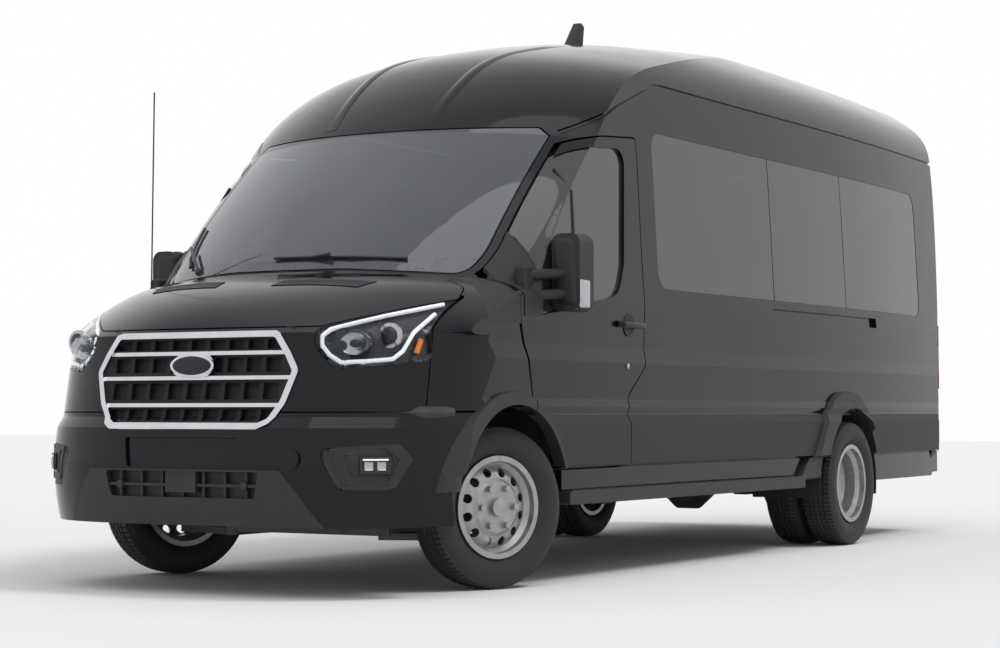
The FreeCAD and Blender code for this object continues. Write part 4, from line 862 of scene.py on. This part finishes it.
for side, sign in (("left", 1), ("right", -1)):
    cap = brick("mirror_cap_" + side, CAP_HIGH - CAP_LOW, (CAP_LOW + CAP_HIGH) / 2)
    edit(cap)
    pick_verts(cap, lambda co: co.z < CAP_LOW.z + CAP_CORNER and co.x < CAP_LOW.x + CAP_CORNER)
    bpy.ops.transform.translate(value=CAP_FOOT_IN)
    pick_verts(cap, lambda co: co.z > CAP_HIGH.z - CAP_CORNER and co.x > CAP_HIGH.x - CAP_CORNER)
    bpy.ops.transform.translate(value=CAP_TOP_OUT)
    done()
    modify(cap, "BEVEL", width=CAP_ROUND, segments=7, limit_method="ANGLE")
    edit(cap)
    pick_faces(cap, lambda centre, normal: normal.y > 0.7 or centre.y > CAP_HIGH.y - CAP_OPEN)
    bpy.ops.mesh.delete(type="FACE")
    done()
    modify(cap, "SOLIDIFY", thickness=CAP_SHEET, offset=-1.0)
    if sign < 0:
        mirror_over(cap)
    fit(cap, "front_door_" + side, grained, (), 35.0)
    for name, (x, y, z), size, round_edge, material in MIRROR_PARTS:
        block = brick(name + "_" + side, size, (sign * x, y, z))
        push = (sign * END_PROUD, 0, 0)
        inset_face(block, lambda centre, normal: normal.x * sign > 0.9, size[1] * END_INSET, push)
        modify(block, "BEVEL", width=round_edge, segments=4, limit_method="ANGLE")
        fit(block, "front_door_" + side, material)
    pane = brick("mirror_glass_" + side, PANE_SIZE, (sign * PANE_SPOT[0], *PANE_SPOT[1:]))
    modify(pane, "BEVEL", width=PANE_EDGE, segments=2, limit_method="ANGLE")
    fit(pane, "front_door_" + side, mirror_glass, (), 30.0)

# Door furniture: a painted pull handle over a round finger recess, a small lock, the window's divider bar
# and its front seal. The divider is a steel channel with black rubber over it, and the seal is rubber.
# The finger recess is not sunk into the door: a shallow dished disc sits on it, and its dark matte colour is
# painted shade.
HANDLE_Z = 1.160
HANDLE = [(0.006, -1.470), (0.026, -1.445), (0.031, -1.345), (0.026, -1.245), (0.006, -1.218)]
HANDLE_R = 0.0155
HANDLE_FACE = (-1.40, 1.10)
RECESS = (-1.352, 1.157)
RECESS_SIZE = 0.104
LOCK = (-1.377, 0.967)
LOCK_SIZE = 0.026
SEALS = [("window_divider", -1.850, 1.300, 1.960, 0.008), ("window_front_seal", -2.199, 1.270, 1.640, 0.007)]
SEAL_STEPS = 6
SEAL_AHEAD = 0.012


def on_side(node, sign, y, z):
    """Point on the outer face of a node at a height and length, looked for from the side."""
    return first_hit(frame["nodes"][node], (sign * 3.0, y, z), (-sign, 0, 0))[0]


# Dark matte rubber for the seals and the wheel liners. On the finger recesses the same dark matte colour is
# painted shade.
rubber_and_painted_recess_shade = surface("rubber_and_painted_recess_shade", (0.012, 0.012, 0.012), rough=0.6, mottle=(40.0, 0.2), grain=(600.0, 0.1))
for side, sign in (("left", 1), ("right", -1)):
    door = "front_door_" + side
    face = on_side(door, sign, *HANDLE_FACE)
    # Finger recess: a shallow dished disc standing on the door, whose dark matte colour is painted shade in
    # place of a real hollow.
    recess = dome("handle_recess_painted_shade_" + side, (face.x, *RECESS), RECESS_SIZE, RECESS_SIZE, -0.003)
    recess.rotation_euler = (0, 0, math.radians(90) * sign)
    fit(recess, door, rubber_and_painted_recess_shade)
    run = [Vector((face.x + sign * proud, y, HANDLE_Z)) for proud, y in HANDLE]
    grip = bar("door_handle_" + side, run, HANDLE_R)
    fit(grip, door, body_paint)
    lock = dome("door_lock_" + side, on_side(door, sign, *LOCK), LOCK_SIZE, LOCK_SIZE, 0.003, 24)
    lock.rotation_euler = (0, 0, math.radians(90) * sign)
    fit(lock, door, lamp_chrome)
    for name, y, low, high, radius in SEALS:
        run = []
        for step in range(SEAL_STEPS + 1):
            z = low + (high - low) * step / SEAL_STEPS
            spot = on_side("front_door_glass_" + side, sign, y + SEAL_AHEAD, z)
            if spot is not None:
                run.append(spot + Vector((0, -SEAL_AHEAD, 0)))
        fit(bar(name + "_" + side, run, radius), door, rubber_and_painted_recess_shade)

# Bumper beam: a black pressed beam behind the joint of the nose and the bumper, bolted to the frame.
# It follows the bumper round both corners, so no daylight shows through the joint.
BEAM_Z = 0.752
BEAM_R = 0.034
BEAM_BEHIND = 0.042
BEAM_INSIDE = 0.040
FASCIA_X = (0.0, 0.25, 0.45, 0.65, 0.80, 0.90)
FASCIA_RISE = 0.04
CORNER_Y = (-2.98, -2.92, -2.86)
CORNER_DROP = 0.06
run = []
for sign in (-1, 1):
    half = []
    for x in FASCIA_X:
        spot = from_front(frame["nodes"]["front_fascia"], sign * x, BEAM_Z + FASCIA_RISE)[0]
        if spot is not None:
            half.append(spot + Vector((0, BEAM_BEHIND, -FASCIA_RISE)))
    for y in CORNER_Y:
        spot = on_side("front_bumper", sign, y, BEAM_Z - CORNER_DROP)
        if spot is not None:
            half.append(Vector((spot.x - sign * BEAM_INSIDE, y + 0.01, BEAM_Z)))
    run = run + half[1:] if run else half[::-1]
beam = bar("bumper_beam", run, BEAM_R)
fit(beam, "van_body", frame_black)

# Wheelhouse liners: black moulded shells over the rear wheels that close the arches to the underbody.
# Each is a bit more than half a drum with an inner wall, clipped into the arch.
LINER_R = 0.419
LINER_OUTER = 1.012
LINER_INNER = 0.600
LINER_WALL_FOOT = 0.150
LINER_TURN = math.radians(200)
LINER_SHEET = 0.003
LONG_EDGE = 0.2
hub = Vector(joint_named["spin_rear_left"]["pos_m"])
liner = outlined("wheel_liner_rear_right",
                 [(-LINER_OUTER, LINER_R), (-LINER_INNER, LINER_R), (-LINER_INNER, LINER_WALL_FOOT)])
mesh = bmesh.from_edit_mesh(liner.data)
closing = []
for edge in mesh.edges:
    run = edge.verts[0].co - edge.verts[1].co
    if abs(run.z) > LONG_EDGE and abs(run.x) > LONG_EDGE:
        closing.append(edge)
bmesh.ops.delete(mesh, geom=closing, context="EDGES")
bmesh.update_edit_mesh(liner.data)
bpy.ops.mesh.select_all(action="SELECT")
bpy.ops.mesh.spin(steps=28, angle=LINER_TURN, center=(0, 0, 0), axis=(1, 0, 0))
done()
middle = middle_of(liner)
tidy_mesh(liner)
modify(liner, "SOLIDIFY", thickness=LINER_SHEET, offset=1.0)
liner.rotation_euler = (math.atan2(middle.y, middle.z), 0, 0)
liner.location = (0, hub.y, hub.z)
fit(liner, "van_body", rubber_and_painted_recess_shade)
left_liner = copy_of(liner, "wheel_liner_rear_left")
mirror_over(left_liner)
fit(left_liner, "van_body", rubber_and_painted_recess_shade)

# Roof ribs: two stiffening ribs pressed into the dome over the cab and painted with it.
# Each is a strip that follows the roof, splays outwards and swells a few millimetres in its middle.
RIB_X = 0.250
RIB_WIDTH = 0.060
RIB_SPLAY = 0.06
RIB_TAIL = -0.73
RIB_SWELL = 0.007
RIB_LIFT = 0.0006
RIB_FADE = 6
RIB_FACES = (8, 30)
RIB_SHEET = 0.0012
roof_node = frame["nodes"]["roof_panel"]
rib_start = -2.2
while from_above(roof_node, RIB_X, rib_start - 0.02)[0] is None:
    rib_start += 0.01


def rib_point(sign, u, v):
    """Point on the rib at a share of its width and length."""
    x = sign * (RIB_X + RIB_WIDTH * u + RIB_SPLAY * v)
    y = rib_start + (RIB_TAIL - rib_start) * v
    swell = RIB_SWELL * math.sin(math.pi * u) * min(1.0, RIB_FADE * v, RIB_FADE * (1 - v)) + RIB_LIFT
    return (from_above(roof_node, x, y)[0] or Vector((x, y, 2.6))) + Vector((0, 0, swell))


for side, sign in (("left", 1), ("right", -1)):
    rib = draped("roof_rib_" + side, *RIB_FACES, lambda u, v: rib_point(sign, u, v))
    modify(rib, "SOLIDIFY", thickness=RIB_SHEET, offset=-1.0)
    tidy_mesh(rib)
    fit(rib, "van_body", body_paint, (), 60.0)

# Tow-eye cap: a small round painted plastic cover pressed into the front bumper on the left.
# It hides the thread that the towing eye screws into.
TOW_CAP = (0.542, 0.566)
TOW_CAP_SIZE = 0.078
tow_spot = from_front(frame["nodes"]["front_bumper"], *TOW_CAP)[0] or Vector((TOW_CAP[0], -3.3, TOW_CAP[1]))
tow_cap = dome("tow_eye_cap", tow_spot, TOW_CAP_SIZE, TOW_CAP_SIZE, 0.0012)
fit(tow_cap, "van_body", body_paint)

# Rear doors' furniture: a painted bar over the bare plate place, with two small lamps under it, a pull
# handle and a high brake lamp. The pieces are moulded plastic screwed to the doors and the roof's edge.
PLATE_BAR = (0.50, 0.026, 0.060)
PLATE_BACKING = (0.52, 0.006, 0.125)
PLATE_LAMP = (0.040, 0.020, 0.010)
PULL_HANDLE = (0.050, 0.030, 0.180)
BRAKE_LAMP = (0.300, 0.014, 0.030)
TAIL_PARTS = [("plate_bar", "rear_door_left", (0.36, 1.225), PLATE_BAR, body_paint, "black_paint"),
              ("plate_backing", "rear_door_left", (0.36, 1.115), PLATE_BACKING, grained, "black_trim"),
              ("plate_lamp_inner", "rear_door_left", (0.26, 1.192), PLATE_LAMP, lamp_white, "clear_lens"),
              ("plate_lamp_outer", "rear_door_left", (0.46, 1.192), PLATE_LAMP, lamp_white, "clear_lens"),
              ("rear_pull_handle", "rear_door_right", (-0.10, 1.200), PULL_HANDLE, grained, "black_trim"),
              ("high_brake_lamp", "roof_panel", (0.0, 2.420), BRAKE_LAMP, tail_lens, "red_lens")]
TAIL_INSET = 0.18
TAIL_SINK = 0.002
SINK_SHARE = 0.2
TAIL_EDGE = 0.22
PROUD_SHARE = 0.32
for name, node, (x, z), size, material, slot in TAIL_PARTS:
    block = brick(name, size)
    push = (0, -min(TAIL_SINK, size[1] * SINK_SHARE), 0)
    inset_face(block, lambda centre, normal: normal.y > 0.9, min(size[0], size[2]) * TAIL_INSET, push)
    modify(block, "BEVEL", width=min(size) * TAIL_EDGE, segments=3, limit_method="ANGLE")
    spot = first_hit(frame["nodes"][node], (x, 6.0, z), (0, -1, 0))[0] or Vector((x, 3.2, z))
    block.location = spot + Vector((0, size[1] * PROUD_SHARE, 0))
    fit(block, "van_body" if node == "roof_panel" else node, material)

# Seats: foam cushions, backs and headrests sewn into dark woven cloth, on plain plastic pedestals.
# Two single seats stand in front, and four rows behind have a bench on the left and a single seat on the
# right, all bolted to the floor. Two steel posts carry each headrest.
SEAT_FLOOR = 0.775
FIRST_ROW = -0.199
ROW_PITCH = 0.82
ROWS = 4
SEATS = [("driver", "front_seats", 0.48, -1.299, 0.52), ("passenger", "front_seats", -0.48, -1.299, 0.52)]
for row in range(ROWS):
    SEATS.append(("bench_%d" % row, "rear_seats", 0.43, FIRST_ROW + ROW_PITCH * row, 0.86))
    SEATS.append(("single_%d" % row, "rear_seats", -0.56, FIRST_ROW + ROW_PITCH * row, 0.46))
CUSHION = (0.47, 0.135)
CUSHION_Z = 0.321
BACK = (0.62, 0.125)
BACK_SPOT = (0.325, 0.64)
BACK_LEAN = math.radians(90 - 14)
HEADREST = (0.25, 0.165, 0.085)
HEADREST_SPOT = (0.433, 1.045)
HEADREST_LEAN = math.radians(90 - 6)
PEDESTAL_NARROWER = 0.13
PEDESTAL = (0.36, 0.252)
PEDESTAL_Z = 0.128
POSTS = (-0.06, 0.06)
POST_FOOT = (0.40, 0.90)
POST_HEAD = (0.425, 0.98)
POST_R = 0.007
PEDESTAL_EDGE = 0.012
WEAVE_SCALE = 420.0
WEAVE_STRENGTH = 0.2
WEAVE_HEIGHT = 0.0015
PAD_TOP = 0.45
PAD_END = 0.95
SEAM = 0.5
SEAM_BAND = 0.02
SEAM_WIDTH = 0.08
SEAM_DEEP = 0.7
CROWN_HIGH = 0.4
MIDDLE = 0.3
MIDDLE_DEEP = 0.6
WAIST = 0.965
PEDESTAL_FOOT = 0.86
cloth = surface("woven_seat_cloth", (0.05, 0.052, 0.062), rough=0.85, mottle=(12.0, 0.2), grain=(60.0, 0.02))
tune(cloth, {"Sheen Weight": 0.2})
nodes, links = cloth.node_tree.nodes, cloth.node_tree.links
place = nodes.new("ShaderNodeTexCoord")
weave = nodes.new("ShaderNodeTexVoronoi")
weave.inputs["Scale"].default_value = WEAVE_SCALE
weave.distance = "MANHATTAN"
links.new(place.outputs["Object"], weave.inputs["Vector"])
add_bump(nodes, links, weave.outputs["Distance"], WEAVE_STRENGTH, WEAVE_HEIGHT)


def pad(name, size, crown):
    """Padded block at the origin: crowned top, raised side bolsters and a sunken seam between them."""
    piece = brick(name, size)
    edit_all(piece)
    bpy.ops.mesh.subdivide(number_cuts=3)
    half_x, half_y = size[0] / 2, size[1] / 2
    top = size[2] * PAD_TOP
    pick_faces(piece, lambda centre, normal: normal.z > 0.9 and abs(centre.x) < half_x * SEAM)
    bpy.ops.mesh.inset(thickness=min(size) * SEAM_WIDTH)
    pick_verts(piece, lambda co: co.z > top and abs(abs(co.x) - half_x * SEAM) < half_x * SEAM_BAND)
    bpy.ops.transform.translate(value=(0, 0, -crown * SEAM_DEEP))
    pick_verts(piece, lambda co: co.z > top and abs(co.x) < half_x * MIDDLE
               and abs(co.y) < half_y * MIDDLE_DEEP)
    bpy.ops.transform.translate(value=(0, 0, crown * CROWN_HIGH))
    pick_verts(piece, lambda co: abs(co.y) > half_y * PAD_END and abs(co.x) < half_x * MIDDLE)
    bpy.ops.transform.resize(value=(1, WAIST, 1), center_override=(0, 0, 0))
    done()
    modify(piece, "SUBSURF", levels=2, render_levels=2)
    return piece


def set_pad(piece, centre, lean):
    """Leans a pad about its middle and sets it in its place."""
    piece.rotation_euler = (lean, 0, 0)
    piece.location = centre
    return piece


replaced_seats = set()
for name, node, x, y, width in SEATS:
    cushion = set_pad(pad(name + "_cushion", (width, *CUSHION), 0.018),
                      (x, y - 0.01, SEAT_FLOOR + CUSHION_Z), 0)
    marks = () if node in replaced_seats else (node,)
    replaced_seats.add(node)
    fit(cushion, "van_body", cloth, marks, 60.0)
    back = set_pad(pad(name + "_back", (width, *BACK), 0.016),
                   (x, y + BACK_SPOT[0], SEAT_FLOOR + BACK_SPOT[1]), BACK_LEAN)
    fit(back, "van_body", cloth, (), 60.0)
    rest = set_pad(pad(name + "_headrest", HEADREST, 0.006),
                   (x, y + HEADREST_SPOT[0], SEAT_FLOOR + HEADREST_SPOT[1]), HEADREST_LEAN)
    fit(rest, "van_body", cloth, (), 60.0)
    pedestal = brick(name + "_pedestal", (width - PEDESTAL_NARROWER, *PEDESTAL),
                     (x, y, SEAT_FLOOR + PEDESTAL_Z))
    edit(pedestal)
    pick_faces(pedestal, lambda centre, normal: normal.z < -0.9)
    bpy.ops.transform.resize(value=(PEDESTAL_FOOT, PEDESTAL_FOOT, 1))
    done()
    modify(pedestal, "BEVEL", width=PEDESTAL_EDGE, segments=3, limit_method="ANGLE")
    fit(pedestal, "van_body", cabin_plastic)
    for index, offset in enumerate(POSTS):
        ends = [(x + offset, y + behind, SEAT_FLOOR + height) for behind, height in (POST_FOOT, POST_HEAD)]
        fit(bar("%s_post_%d" % (name, index), ends, POST_R), "van_body", lamp_chrome)
